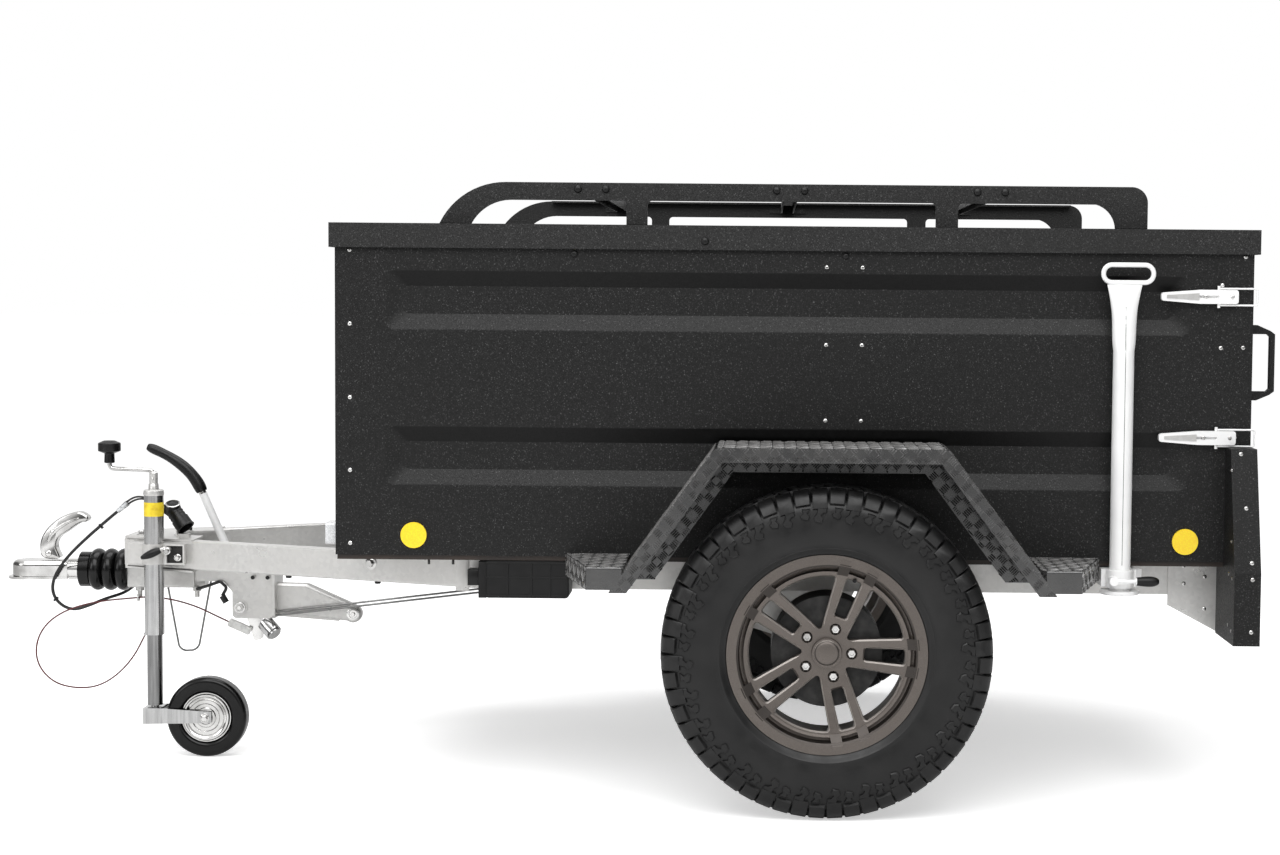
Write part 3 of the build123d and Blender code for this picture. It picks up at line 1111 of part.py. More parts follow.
with BuildPart() as rim:
    revolve(wheel_section(((HUB_FACE, 0), (HUB_FACE, 80), (48, 183), (50, 186), (78, 186), (76, 180),
                           DISH[1], DISH[0], (50, 34), (56, 30), (58, 0))), axis=wheel_axis)
    extrude(wheel_windows(), amount=100, mode=Mode.SUBTRACT)
    chamfer(rim.edges().filter_by(on_dish), SPOKE_BEVEL)
    for depth, hole_radius in ((HUB_FACE, BOLT_HOLE_RADIUS), (HUB_FACE + 10, BOLT_POCKET_RADIUS)):
        with BuildSketch(side_view(-WHEEL_Y - depth)):
            with Locations((AXLE_X, WHEEL_RADIUS)):
                with PolarLocations(BOLT_CIRCLE_RADIUS, SPOKE_PAIRS, start_angle=SPOKE_ANGLE):
                    Circle(hole_radius)
        extrude(amount=60, mode=Mode.SUBTRACT)
    revolve(wheel_section(((90, 224), (84, 224), (84, 206), (60, 203), (50, 186), (-30, 186),
                           (-45, 203), (-84, 206), (-84, 224), (-90, 224), (-90, 199), (-50, 196),
                           (-34, 180), (44, 180), (62, 187), (64, 195), (88, 198), (90, 202))),
            axis=wheel_axis)
    add(spoke_tips)
keep_pair("rim", rim)

with BuildPart() as brake_drum:
    drum_out = HUB_FACE
    drum_in = DRUM_Y[0] - WHEEL_Y
    bore = SPINDLE_RADIUS + RUNNING_GAP
    revolve(wheel_section(((drum_in, DRUM_RADIUS), (drum_out, DRUM_RADIUS), (drum_out, bore),
                           (drum_in + 5, bore), (drum_in + 5, 42), (drum_out - 12, 42),
                           (drum_out - 12, DRUM_RADIUS - 9), (drum_in, DRUM_RADIUS - 9))),
            axis=wheel_axis)
keep_pair("brake_drum", brake_drum)

# ---------------------------------------------------------------- rear lamps and their guards
GUARD_REAR = AXLE_X + 977
GUARD_BOTTOM = 388
GUARD_KNEE = 552
GUARD_TOP = 829
GUARD_INNER_Y = RAIL_Y + RAIL_WIDTH / 2 + BRACKET_PLATE
GUARD_OUTLINE = ((-GUARD_INNER_Y, GUARD_BOTTOM), (-730, GUARD_BOTTOM), (-730, GUARD_KNEE),
                 (-660, GUARD_TOP), (-BOX_SIDE, GUARD_TOP), (-BOX_SIDE, GUARD_KNEE),
                 (-GUARD_INNER_Y, GUARD_KNEE))
with BuildPart() as lamp_guards:
    with BuildSketch(Plane.YZ.offset(GUARD_FRONT)):
        with BuildLine():
            Polyline(*GUARD_OUTLINE, close=True)
        make_face()
    extrude(amount=GUARD_REAR - GUARD_FRONT)
    with BuildSketch(Plane.YZ.offset(GUARD_FRONT + SHEET)):
        with BuildLine():
            Polyline(*GUARD_OUTLINE, close=True)
        make_face()
        offset(amount=-SHEET, kind=Kind.INTERSECTION, mode=Mode.REPLACE)
    extrude(amount=GUARD_REAR - GUARD_FRONT, mode=Mode.SUBTRACT)
    mirror(about=Plane.XZ)
    with BuildSketch(Plane.YZ.offset(GUARD_FRONT + 25)):
        with Locations((0, 465)):
            Rectangle(2 * GUARD_INNER_Y, 70)
    extrude(amount=20)
keep("lamp_guards", lamp_guards)

LAMP_RECESS = 9
with BuildPart() as rear_lamps:
    with BuildSketch(Plane.YZ.offset(GUARD_FRONT + SHEET)):
        with Locations((-(GUARD_INNER_Y + 730) / 2, (GUARD_BOTTOM + GUARD_KNEE) / 2)):
            RectangleRounded(192, 148, 8)
    extrude(amount=GUARD_REAR - GUARD_FRONT - SHEET - LAMP_RECESS)
    mirror(about=Plane.XZ)
keep("rear_lamps", rear_lamps)

with BuildPart() as front_lamps:
    with BuildSketch(Plane.YZ.offset(BOX_FRONT)):
        for side in (-1, 1):
            with Locations((side * 545, 609)):
                RectangleRounded(70, 50, 8)
    extrude(amount=-28)
keep("front_lamps", front_lamps)

with BuildPart() as side_reflectors:
    with BuildSketch(side_view(-BOX_SIDE)):
        with Locations((AXLE_X - 951, 610), (AXLE_X + 827, 610)):
            Circle(30)
    extrude(amount=6)
    mirror(about=Plane.XZ)
keep("side_reflectors", side_reflectors)

# ---------------------------------------------------------------- corner stands
STAND_X = AXLE_X + 674
STAND_Y = 632
STAND_RADIUS = 24
STAND_TOP = 1200
STAND_FOOT = 492
SQUEEZE = ((1050, 24, 24), (1085, 27, 20.5), (1120, 28, 19), (1165, 33, 13), (1200, 40, 5.5))
GRIP_BAR = 5.5
with BuildPart() as corner_stand:
    with BuildSketch(Plane.XY.offset(STAND_FOOT)):
        with Locations((STAND_X, -STAND_Y)):
            Circle(45)
    extrude(amount=9)
    fillet(corner_stand.edges().group_by(Axis.Z)[0], 3)
    with BuildSketch(Plane.XY.offset(STAND_FOOT + 9)):
        with Locations((STAND_X, -STAND_Y)):
            Circle(STAND_RADIUS)
    extrude(amount=SQUEEZE[0][0] - STAND_FOOT - 9)
    for height, half_width, half_depth in SQUEEZE:
        with BuildSketch(Plane.XY.offset(height)):
            with Locations((STAND_X, -STAND_Y)):
                Ellipse(half_width, half_depth)
    loft()
    with BuildLine(side_view(-STAND_Y)) as grip_loop:
        FilletPolyline((STAND_X - 49, STAND_TOP + 5), (STAND_X + 65, STAND_TOP + 5),
                       (STAND_X + 65, STAND_TOP + 45), (STAND_X - 49, STAND_TOP + 45),
                       radius=19.5, close=True)
    with BuildSketch(Plane(origin=grip_loop.line @ 0, z_dir=grip_loop.line % 0)):
        Circle(GRIP_BAR)
    sweep()
keep_pair("corner_stand", corner_stand)

CLAMP_GAP = 0.4
STAND_CLAMP_FOOT = 508
STAND_CLAMP_TOP = 548
HANDLE_PIVOT_X = STAND_X - 20
HANDLE_PLANE_Y = STAND_Y + 43
with BuildPart() as stand_clamps:
    with BuildSketch(Plane.XY.offset(STAND_CLAMP_FOOT)):
        with Locations((STAND_X, -STAND_Y)):
            Circle(STAND_RADIUS + 8)
        with BuildLine():
            Polyline((STAND_X - 42, -STAND_Y + 4), (STAND_X + 38, -STAND_Y + 4),
                     (STAND_X + 53, -STAND_Y + 18), (STAND_X + 38, -STAND_Y + 30),
                     (STAND_X + 38, -RAIL_Y - RAIL_WIDTH / 2), (STAND_X - 42, -RAIL_Y - RAIL_WIDTH / 2),
                     close=True)
        make_face()
        with Locations((STAND_X, -STAND_Y)):
            Circle(STAND_RADIUS + CLAMP_GAP, mode=Mode.SUBTRACT)
    extrude(amount=STAND_CLAMP_TOP - STAND_CLAMP_FOOT)
    handle_z = (STAND_CLAMP_FOOT + STAND_CLAMP_TOP) / 2 - 2
    with BuildSketch(side_view(-STAND_Y - STAND_RADIUS + 2)):
        with Locations((HANDLE_PIVOT_X, handle_z)):
            Circle(10)
    extrude(amount=HANDLE_PLANE_Y - STAND_Y - STAND_RADIUS + 8)
    with Locations((STAND_X, -STAND_Y, handle_z)):
        Cylinder(STAND_RADIUS + CLAMP_GAP, STAND_CLAMP_TOP - STAND_CLAMP_FOOT + 20, mode=Mode.SUBTRACT)
    with BuildSketch(Plane.YZ.offset(HANDLE_PIVOT_X)):
        with Locations((-HANDLE_PLANE_Y, handle_z)):
            Circle(4.5)
    extrude(amount=56)
    for reach, grip_radius in ((50, 9), (68, 10.5), (98, 8), (104, 3)):
        with BuildSketch(Plane.YZ.offset(HANDLE_PIVOT_X + reach)):
            with Locations((-HANDLE_PLANE_Y, handle_z)):
                Circle(grip_radius)
    loft()
    mirror(about=Plane.XZ)
keep("stand_clamps", stand_clamps)

# ---------------------------------------------------------------- toggle latches
LATCH_Z = (1174, 851)
BAIL_X = AXLE_X + 892
BAIL_HALF = 19
BAIL_Y = BOX_SIDE + 11
with BuildPart() as toggle_latches:
    for latch_z in LATCH_Z:
        with BuildSketch(side_view(-BOX_SIDE)):
            with Locations((AXLE_X + 893, latch_z)):
                RectangleRounded(84, 26, 4)
        extrude(amount=5)
        with BuildSketch(side_view(-BOX_SIDE - 5)):
            with BuildLine():
                FilletPolyline((AXLE_X + 760, latch_z - 9), (AXLE_X + 760, latch_z + 9),
                               (AXLE_X + 850, latch_z + 16), (AXLE_X + 936, latch_z + 16),
                               (AXLE_X + 936, latch_z - 16), (AXLE_X + 850, latch_z - 16),
                               radius=6, close=True)
            make_face()
        extrude(amount=13)
        with BuildSketch(Plane.XY.offset(latch_z - BAIL_HALF - 6)):
            with Locations((BAIL_X, -BAIL_Y)):
                Circle(3.5)
        extrude(amount=2 * BAIL_HALF + 12)
        with BuildLine(side_view(-BAIL_Y)) as bail_line:
            FilletPolyline((BAIL_X, latch_z + BAIL_HALF), (BOX_REAR + 6, latch_z + BAIL_HALF),
                           (BOX_REAR + 6, latch_z - BAIL_HALF), (BAIL_X, latch_z - BAIL_HALF), radius=5)
        with BuildSketch(Plane(origin=bail_line.line @ 0, z_dir=bail_line.line % 0)):
            Circle(2.2)
        sweep()
    for edge_z in LATCH_Z:
        with BuildSketch(Plane.YZ.offset(BAIL_X)):
            with Locations((-BOX_SIDE - 18, edge_z)):
                Rectangle(14, 6)
        extrude(amount=-120, mode=Mode.SUBTRACT)
    mirror(about=Plane.XZ)
keep("toggle_latches", toggle_latches)

# ---------------------------------------------------------------- files
os.makedirs("parts", exist_ok=True)
for name, piece in pieces.items():
    export_step(piece, f"parts/{name}.step")
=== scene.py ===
"""Looks of an off-road box trailer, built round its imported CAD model.

Everything is in metres in the model's own frame: +X to the rear, +Y to the right-hand side, +Z up.
"""
import json
import math

import bmesh
import bpy
from mathutils import Matrix, Vector
from mathutils.bvhtree import BVHTree


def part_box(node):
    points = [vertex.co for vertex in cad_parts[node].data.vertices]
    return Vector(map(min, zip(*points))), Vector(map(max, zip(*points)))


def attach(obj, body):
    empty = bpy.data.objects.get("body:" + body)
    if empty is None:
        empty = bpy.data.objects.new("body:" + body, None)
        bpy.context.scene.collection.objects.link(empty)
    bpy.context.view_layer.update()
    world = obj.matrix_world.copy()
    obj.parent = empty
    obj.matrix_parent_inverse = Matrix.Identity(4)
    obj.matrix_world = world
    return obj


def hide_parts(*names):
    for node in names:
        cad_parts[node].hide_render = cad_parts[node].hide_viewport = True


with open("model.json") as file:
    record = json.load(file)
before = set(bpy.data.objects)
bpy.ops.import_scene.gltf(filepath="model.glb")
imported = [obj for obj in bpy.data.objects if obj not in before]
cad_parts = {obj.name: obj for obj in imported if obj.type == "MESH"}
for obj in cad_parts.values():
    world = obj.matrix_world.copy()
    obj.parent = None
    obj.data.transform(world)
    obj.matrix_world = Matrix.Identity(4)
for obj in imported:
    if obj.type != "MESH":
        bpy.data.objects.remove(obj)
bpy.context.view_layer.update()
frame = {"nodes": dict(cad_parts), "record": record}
scene = bpy.context.scene
nodes = frame["nodes"]

# ---------------------------------------------------------------- sizes read from the frame
LEFT, RIGHT = -1, 1
SIDES = ((LEFT, "left"), (RIGHT, "right"))


def middle(node):
    low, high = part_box(node)
    return (low + high) / 2


WHEEL = middle("tyre_right")
AXLE = WHEEL.x
WHEEL_Y = WHEEL.y
WHEEL_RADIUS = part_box("tyre_left")[1].z - WHEEL.z
BOX_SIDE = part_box("side_panel_right")[1].y
PANEL_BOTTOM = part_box("side_panel_left")[0].z
LID_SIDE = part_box("lid_panel")[1].y
FENDER_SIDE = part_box("fender_right")[1].y
FENDER_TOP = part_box("fender_left")[1].z
JOCKEY = middle("jockey_outer_tube")
JOCKEY_RIM_LOW, JOCKEY_RIM_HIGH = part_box("jockey_rim")


# ---------------------------------------------------------------- camera
LENS = 63.09                      # millimetres, on a sensor 36 mm wide
SENSOR = 36
SHIFT_X, SHIFT_Y = -0.095, 0.0007
CAMERA_PLACE = Vector((AXLE - 0.130, -5.752, 1.1746))
CAMERA_TURN, CAMERA_DOWN, CAMERA_ROLL = 0.227, 3.46, 0.489       # degrees


def make_camera():
    """The camera looks square on to the left-hand side, a little from above."""
    camera = bpy.data.cameras.new("camera")
    camera.sensor_width = SENSOR
    camera.lens = LENS
    camera.shift_x = SHIFT_X
    camera.shift_y = SHIFT_Y
    camera.clip_end = 200
    stand = bpy.data.objects.new("camera", camera)
    turn = Matrix.Rotation(math.radians(CAMERA_TURN), 4, "Z")
    pitch = Matrix.Rotation(math.radians(90 - CAMERA_DOWN), 4, "X")
    roll = Matrix.Rotation(math.radians(CAMERA_ROLL), 4, "Z")
    stand.matrix_world = Matrix.Translation(CAMERA_PLACE) @ turn @ pitch @ roll
    scene.collection.objects.link(stand)
    scene.camera = stand


make_camera()


# ---------------------------------------------------------------- finishes
def rgba(level):
    """A socket's colour, from one grey level or from three levels."""
    return (*level, 1) if isinstance(level, tuple) else (level, level, level, 1)


class Finish:
    """A material with short calls for the textures that the trailer's surfaces are made of."""

    def __init__(self, name, colour, roughness=0.5, metallic=0.0, **sockets):
        self.material = bpy.data.materials.new(name)
        self.material.use_nodes = True
        self.material.diffuse_color = rgba(colour)
        tree = self.material.node_tree
        self.nodes, self.links = tree.nodes, tree.links
        self.shader = self.nodes["Principled BSDF"]
        self.shader.inputs["Base Color"].default_value = rgba(colour)
        self.shader.inputs["Roughness"].default_value = roughness
        self.shader.inputs["Metallic"].default_value = metallic
        for socket, value in sockets.items():
            self.shader.inputs[socket.replace("_", " ")].default_value = value
        self.coordinates = self.nodes.new("ShaderNodeTexCoord").outputs

    def stretched(self, stretch):
        mapping = self.nodes.new("ShaderNodeMapping")
        mapping.inputs["Scale"].default_value = stretch
        self.links.new(self.coordinates["Object"], mapping.inputs["Vector"])
        return mapping.outputs["Vector"]

    def noise(self, size, detail=3.0, stretch=(1, 1, 1)):
        """Cloudy noise whose features are about size metres across."""
        node = self.nodes.new("ShaderNodeTexNoise")
        node.inputs["Scale"].default_value = 1 / size
        node.inputs["Detail"].default_value = detail
        self.links.new(self.stretched(stretch), node.inputs["Vector"])
        return node.outputs["Fac"]

    def cells(self, size, output="Color"):
        """Crystal-like cells about size metres across."""
        node = self.nodes.new("ShaderNodeTexVoronoi")
        node.inputs["Scale"].default_value = 1 / size
        self.links.new(self.stretched((1, 1, 1)), node.inputs["Vector"])
        return node.outputs[output]

    def toward(self, axis, sign, *stops):
        """A level by how far the surface faces along an axis: its plus or minus side, or both with sign 0."""
        aim = self.nodes.new("ShaderNodeSeparateXYZ")
        self.links.new(self.coordinates["Normal"], aim.inputs["Vector"])
        share = self.nodes.new("ShaderNodeMath")
        share.operation = "MULTIPLY" if sign else "ABSOLUTE"
        share.inputs[1].default_value = sign
        self.links.new(aim.outputs[axis], share.inputs[0])
        return self.ramp(share.outputs["Value"], *stops)

    def ramp(self, factor, *stops):
        """Colours or grey levels, as (position, level) pairs, by factor."""
        node = self.nodes.new("ShaderNodeValToRGB")
        elements = node.color_ramp.elements
        while len(elements) < len(stops):
            elements.new(0.5)
        for element, (position, level) in zip(elements, stops):
            element.position = position
            element.color = rgba(level)
        self.links.new(factor, node.inputs["Fac"])
        return node.outputs["Color"]

    def mottle(self, size, first, second, detail=3.0, stops=(0.3, 0.7)):
        """Cloudy noise that runs from the first level or colour to the second between two stops."""
        return self.ramp(self.noise(size, detail), (stops[0], first), (stops[1], second))

    def times(self, first, second):
        node = self.nodes.new("ShaderNodeMath")
        node.operation = "MULTIPLY"
        self.links.new(first, node.inputs[0])
        self.links.new(second, node.inputs[1])
        return node.outputs["Value"]

    def mix(self, factor, first, second):
        """first where factor is 0 and second where it is 1; each is a colour, a level or another output."""
        node = self.nodes.new("ShaderNodeMix")
        node.data_type = "RGBA"
        self.links.new(factor, node.inputs["Factor"])
        sockets = [socket for socket in node.inputs if socket.type == "RGBA"]
        for socket, value in zip(sockets, (first, second)):
            if isinstance(value, (tuple, float)):
                socket.default_value = rgba(value)
            else:
                self.links.new(value, socket)
        return next(socket for socket in node.outputs if socket.type == "RGBA")

    def paint(self, colour):
        self.links.new(colour, self.shader.inputs["Base Color"])

    def polish(self, roughness):
        self.links.new(roughness, self.shader.inputs["Roughness"])

    def bump(self, height, strength, depth):
        """Raise the surface by up to depth metres where height is 1."""
        node = self.nodes.new("ShaderNodeBump")
        node.inputs["Strength"].default_value = strength
        node.inputs["Distance"].default_value = depth
        self.links.new(height, node.inputs["Height"])
        self.links.new(node.outputs["Normal"], self.shader.inputs["Normal"])


def powder_coat(name="powder_coat", lift=1.0):
    """Black fine-textured powder coat: pebbled, with pale grains, and painted shade that darkens it where it
    faces down.
    """
    # A lift above 1 lightens the whole coat: painted light, as used for the parts on top.
    finish = Finish(name, (0.010, 0.0098, 0.0095), roughness=0.45, Specular_IOR_Level=0.22)
    grain = finish.noise(0.003, detail=4)
    base = finish.ramp(grain, (0.3, 0.005 * lift), (0.62, 0.015 * lift), (0.74, 0.125))
    coat = finish.mix(finish.mottle(0.35, 0.0, 0.35), base, (0.0105 * lift, 0.0104 * lift, 0.0102 * lift))
    # Painted shade: faces that look downwards are darkened to near black.
    finish.paint(finish.mix(finish.toward("Z", -1, (0.15, 0.0), (0.36, 1.0)), coat, 0.001))
    finish.polish(finish.mottle(0.004, 0.34, 0.55))
    finish.bump(grain, 0.7, 0.0009)
    return finish.material


def chequer_paint():
    """Glossier black paint on rolled chequer plate, a little dusty, with a patchy painted grey highlight
    along its bends.
    """
    finish = Finish("chequer_paint", 0.022, roughness=0.22, Specular_IOR_Level=0.9,
                    Coat_Weight=0.6, Coat_Roughness=0.12)
    dust = finish.mottle(0.05, (0.013, 0.013, 0.0132), (0.036, 0.035, 0.034), detail=6, stops=(0.35, 0.75))
    # Painted highlight: where a face turns between facing sideways and facing up, as on the bends, patchy
    # pale grey is painted on.
    corners = finish.toward("Y", 0, (0.2, 0.0), (0.36, 1.0), (0.58, 1.0), (0.72, 0.0))
    edges = finish.times(corners, finish.mottle(0.02, 0.25, 0.8, detail=5, stops=(0.3, 0.65)))
    finish.paint(finish.mix(edges, dust, (0.24, 0.235, 0.23)))
    finish.polish(finish.mottle(0.012, 0.17, 0.30))
    finish.bump(finish.noise(0.0016), 0.25, 0.0004)
    return finish.material


def galvanised():
    """Hot-dip galvanised steel: a faint spangle on a pale satin face."""
    finish = Finish("galvanised", (0.60, 0.59, 0.575), roughness=0.34, metallic=0.52)
    spangle = finish.ramp(finish.cells(0.009), (0.1, (0.55, 0.545, 0.535)), (0.9, (0.64, 0.635, 0.62)))
    cloud = finish.mottle(0.16, 0.0, 0.75, detail=4, stops=(0.35, 0.7))
    finish.paint(finish.mix(cloud, spangle, (0.615, 0.605, 0.585)))
    finish.polish(finish.mottle(0.05, 0.27, 0.42, detail=4, stops=(0.3, 0.72)))
    finish.bump(finish.noise(0.014), 0.12, 0.0003)
    return finish.material


def bright_zinc():
    """Bright zinc plate: near to chrome, with soft waviness and a few dull marks."""
    finish = Finish("bright_zinc", (0.58, 0.575, 0.565), roughness=0.16, metallic=1.0)
    finish.paint(finish.mottle(0.05, (0.40, 0.395, 0.385), (0.70, 0.695, 0.685), stops=(0.3, 0.62)))
    finish.polish(finish.mottle(0.03, 0.09, 0.22, detail=4, stops=(0.3, 0.75)))
    finish.bump(finish.noise(0.04), 0.08, 0.0005)
    return finish.material


def pale_zinc():
    """Freshly plated steel that reads almost white."""
    finish = Finish("pale_zinc", (0.92, 0.92, 0.915), roughness=0.34, metallic=0.10)
    finish.paint(finish.mottle(0.10, 0.88, (0.94, 0.94, 0.935), stops=(0.3, 0.65)))
    finish.polish(finish.mottle(0.05, 0.28, 0.40))
    return finish.material


def tube_zinc(name, dark, light):
    """Drawn tube with a thin bright plate: glossy, with long faint lines from dark to light."""
    finish = Finish(name, light, roughness=0.16, metallic=1.0)
    drawn = finish.noise(0.006, stretch=(1, 1, 0.04))
    finish.paint(finish.ramp(drawn, (0.3, dark), (0.65, light)))
    finish.polish(finish.mottle(0.02, 0.11, 0.22, detail=4))
    return finish.material


def dull_steel():
    """Greyed wire and rod, oiled and a little dirty."""
    finish = Finish("dull_steel", 0.22, roughness=0.38, metallic=0.85)
    finish.paint(finish.mottle(0.02, 0.16, (0.27, 0.27, 0.265), detail=5))
    finish.polish(finish.mottle(0.01, 0.3, 0.46))
    return finish.material


def alloy_bronze():
    """Satin bronze-grey alloy with a fine metal flake, a painted highlight on the bevelled edges and painted
    shade at the spokes' ends.
    """
    finish = Finish("alloy_bronze", (0.15, 0.132, 0.120), roughness=0.44, metallic=1.0,
                    Coat_Weight=0.12, Coat_Roughness=0.3)
    flake = finish.mottle(0.0022, (0.132, 0.116, 0.105), (0.172, 0.152, 0.138), detail=2, stops=(0.35, 0.7))
    face = finish.mix(finish.mottle(0.12, 0.0, 0.6), flake, (0.152, 0.134, 0.122))
    # Painted highlight: faces that lean some 40 to 55 degrees from facing outboard, the bevels, are painted
    # pale.
    painted_bevel_highlight = finish.toward("Y", 0, (0.60, 0.0), (0.66, 0.9), (0.735, 0.9), (0.75, 0.0))
    # Painted shade: faces that lean some 20 to 35 degrees from facing outboard, the slopes at the spokes'
    # ends, are painted near black.
    painted_tip_shade = finish.toward("Y", 0, (0.82, 0.0), (0.86, 0.85), (0.90, 0.85), (0.93, 0.0))
    bright = finish.mix(painted_bevel_highlight, face, (0.50, 0.465, 0.435))
    finish.paint(finish.mix(painted_tip_shade, bright, (0.045, 0.040, 0.037)))
    finish.polish(finish.mottle(0.03, 0.40, 0.48))
    return finish.material


def cast_iron():
    """Rough dark iron with a trace of oil."""
    finish = Finish("cast_iron", 0.02, roughness=0.55, metallic=0.4)
    finish.paint(finish.mottle(0.02, 0.008, (0.032, 0.031, 0.030), detail=6))
    finish.bump(finish.noise(0.003), 0.5, 0.0006)
    return finish.material


def tyre_rubber():
    """Tyre rubber with a low sheen and a little dry dust."""
    finish = Finish("tyre_rubber", (0.007, 0.007, 0.0072), roughness=0.45, Specular_IOR_Level=0.36)
    finish.paint(finish.mottle(0.06, (0.0045, 0.0045, 0.0047), (0.0115, 0.0113, 0.0112), detail=6,
                               stops=(0.3, 0.75)))
    finish.polish(finish.mottle(0.03, 0.33, 0.52, detail=5))
    finish.bump(finish.noise(0.0015, detail=5), 0.3, 0.0003)
    return finish.material


def moulded_rubber():
    """Glossier moulded rubber, as on the bellows."""
    finish = Finish("moulded_rubber", 0.0028, roughness=0.2, Specular_IOR_Level=0.28)
    finish.paint(finish.mottle(0.03, 0.0018, 0.0045))
    finish.polish(finish.mottle(0.01, 0.14, 0.26, detail=4))
    finish.bump(finish.noise(0.002), 0.15, 0.0003)
    return finish.material


def black_plastic():
    """Fine-grained black moulded plastic."""
    finish = Finish("black_plastic", (0.0045, 0.0045, 0.0046), roughness=0.36, Specular_IOR_Level=0.3)
    finish.paint(finish.mottle(0.04, (0.0030, 0.0030, 0.0031), (0.0075, 0.0075, 0.0076), detail=5))
    finish.polish(finish.mottle(0.02, 0.28, 0.44))
    finish.bump(finish.noise(0.0009, detail=2), 0.3, 0.0002)
    return finish.material


def plywood():
    """Dark film-faced plywood with sealed edges and a fine woven anti-slip face."""
    finish = Finish("plywood", (0.03, 0.018, 0.012), roughness=0.5)
    grain = finish.noise(0.012, detail=6, stretch=(0.12, 1, 1))
    finish.paint(finish.ramp(grain, (0.3, (0.012, 0.008, 0.006)), (0.7, (0.030, 0.019, 0.013))))
    weave = finish.times(finish.noise(0.002, stretch=(1, 0.1, 1)), finish.noise(0.002, stretch=(0.1, 1, 1)))
    finish.bump(weave, 0.6, 0.0006)
    return finish.material


def lens(name, colour, bright):
    """Moulded plastic lens with a fine prism grid under a clear face."""
    finish = Finish(name, colour, roughness=0.25, Coat_Weight=0.9, Coat_Roughness=0.04)
    prisms = finish.cells(0.0035, output="Distance")
    finish.paint(finish.mix(finish.ramp(prisms, (0.15, 0.0), (0.6, 1.0)), bright, colour))
    finish.bump(prisms, 0.15, 0.0006)
    return finish.material


def cable_coat(name, colour, strand):
    """A cable sheath, with the slight lay of its wires showing through."""
    finish = Finish(name, colour, roughness=0.45)
    dark = tuple(0.6 * level for level in colour)
    finish.paint(finish.mottle(strand, dark, colour, detail=4))
    finish.bump(finish.noise(strand), 0.3, 0.0002)
    return finish.material


def clear_sleeve():
    """Cloudy clear sleeve over the two leads."""
    finish = Finish("clear_sleeve", (0.62, 0.64, 0.66), roughness=0.2, Coat_Weight=0.8, Coat_Roughness=0.1)
    folds = finish.noise(0.012, stretch=(1, 1, 2.5))
    finish.paint(finish.ramp(folds, (0.35, (0.20, 0.205, 0.21)), (0.6, (0.66, 0.68, 0.70))))
    finish.bump(finish.noise(0.006), 0.4, 0.0006)
    return finish.material


def white_plastic():
    """Plain white plastic with handling marks."""
    finish = Finish("white_plastic", (0.78, 0.78, 0.76), roughness=0.4)
    finish.paint(finish.mottle(0.01, (0.62, 0.62, 0.60), (0.82, 0.82, 0.80), detail=5, stops=(0.3, 0.55)))
    finish.bump(finish.noise(0.002), 0.15, 0.0002)
    return finish.material


def yellow_band():
    """Plain yellow film round the jockey tube."""
    finish = Finish("yellow_band", (0.80, 0.60, 0.02), roughness=0.4)
    finish.paint(finish.mottle(0.015, (0.66, 0.46, 0.012), (0.86, 0.66, 0.03), detail=5, stops=(0.3, 0.6)))
    finish.bump(finish.noise(0.004), 0.1, 0.0001)
    return finish.material


looks = {
    "steel_galvanised": galvanised(),
    "steel_zinc": bright_zinc(),
    "black_powder_coat": powder_coat(),
    "black_chequer_plate": chequer_paint(),
    "plywood": plywood(),
    "black_rubber": moulded_rubber(),
    "tyre": tyre_rubber(),
    "alloy_bronze": alloy_bronze(),
    "brake_steel": cast_iron(),
    "black_plastic": black_plastic(),
    "lamp_red": lens("lamp_red", (0.36, 0.008, 0.010), (0.75, 0.03, 0.03)),
    "lamp_clear": lens("lamp_clear", (0.62, 0.63, 0.64), (0.86, 0.87, 0.88)),
    "reflector_amber": lens("reflector_amber", (0.97, 0.66, 0.0), (1.0, 0.78, 0.0)),
    "cable_red": cable_coat("cable_red", (0.105, 0.005, 0.008), 0.002),
    "cable_black": cable_coat("cable_black", (0.006, 0.006, 0.006), 0.003),
    "sleeve_clear": clear_sleeve(),
    "tag_white": white_plastic(),
}
BAND = yellow_band()
DULL = dull_steel()
PALE = pale_zinc()
SPECIAL_LOOKS = (                 # finishes of nodes that differ from the rest of their slot
    (PALE, ("corner_stand_left", "corner_stand_right", "stand_clamps", "toggle_latches")),
    (tube_zinc("tube_zinc", 0.36, 0.52), ("jockey_outer_tube", "jockey_fork", "brake_spring")),
    (tube_zinc("sliding_tube_zinc", 0.15, 0.30), ("jockey_inner_tube",)),
    (DULL, ("cable_stay",)),
    # The lid and roof rails take a lighter copy of the same powder coat: painted light on the parts on top.
    (powder_coat("lid_coat_painted_light", lift=1.9), ("lid_panel", "roof_rails")),
    (looks["black_rubber"], ("jockey_tyre",)),
)
node_looks = {node: look for look, wearers in SPECIAL_LOOKS for node in wearers}

for subpart in frame["record"]["subparts"]:
    skin = nodes[subpart["node"]].data.materials
    skin.clear()
    skin.append(node_looks.get(subpart["node"], looks[subpart["material_slot"]]))


# ---------------------------------------------------------------- making pieces
def mesh_piece(name, bm, look, body, smooth_angle=40, finish=None):
    """Make bm an object that rides on body; look is its slot, and finish its material where that differs."""
    mesh = bpy.data.meshes.new(name)
    bmesh.ops.recalc_face_normals(bm, faces=bm.faces)
    bm.to_mesh(mesh)
    bm.free()
    mesh.shade_smooth()
    mesh.set_sharp_from_angle(angle=math.radians(smooth_angle))
    mesh.materials.append(finish or looks[look])
    piece = bpy.data.objects.new(name, mesh)
    scene.collection.objects.link(piece)
    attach(piece, body)
    return piece


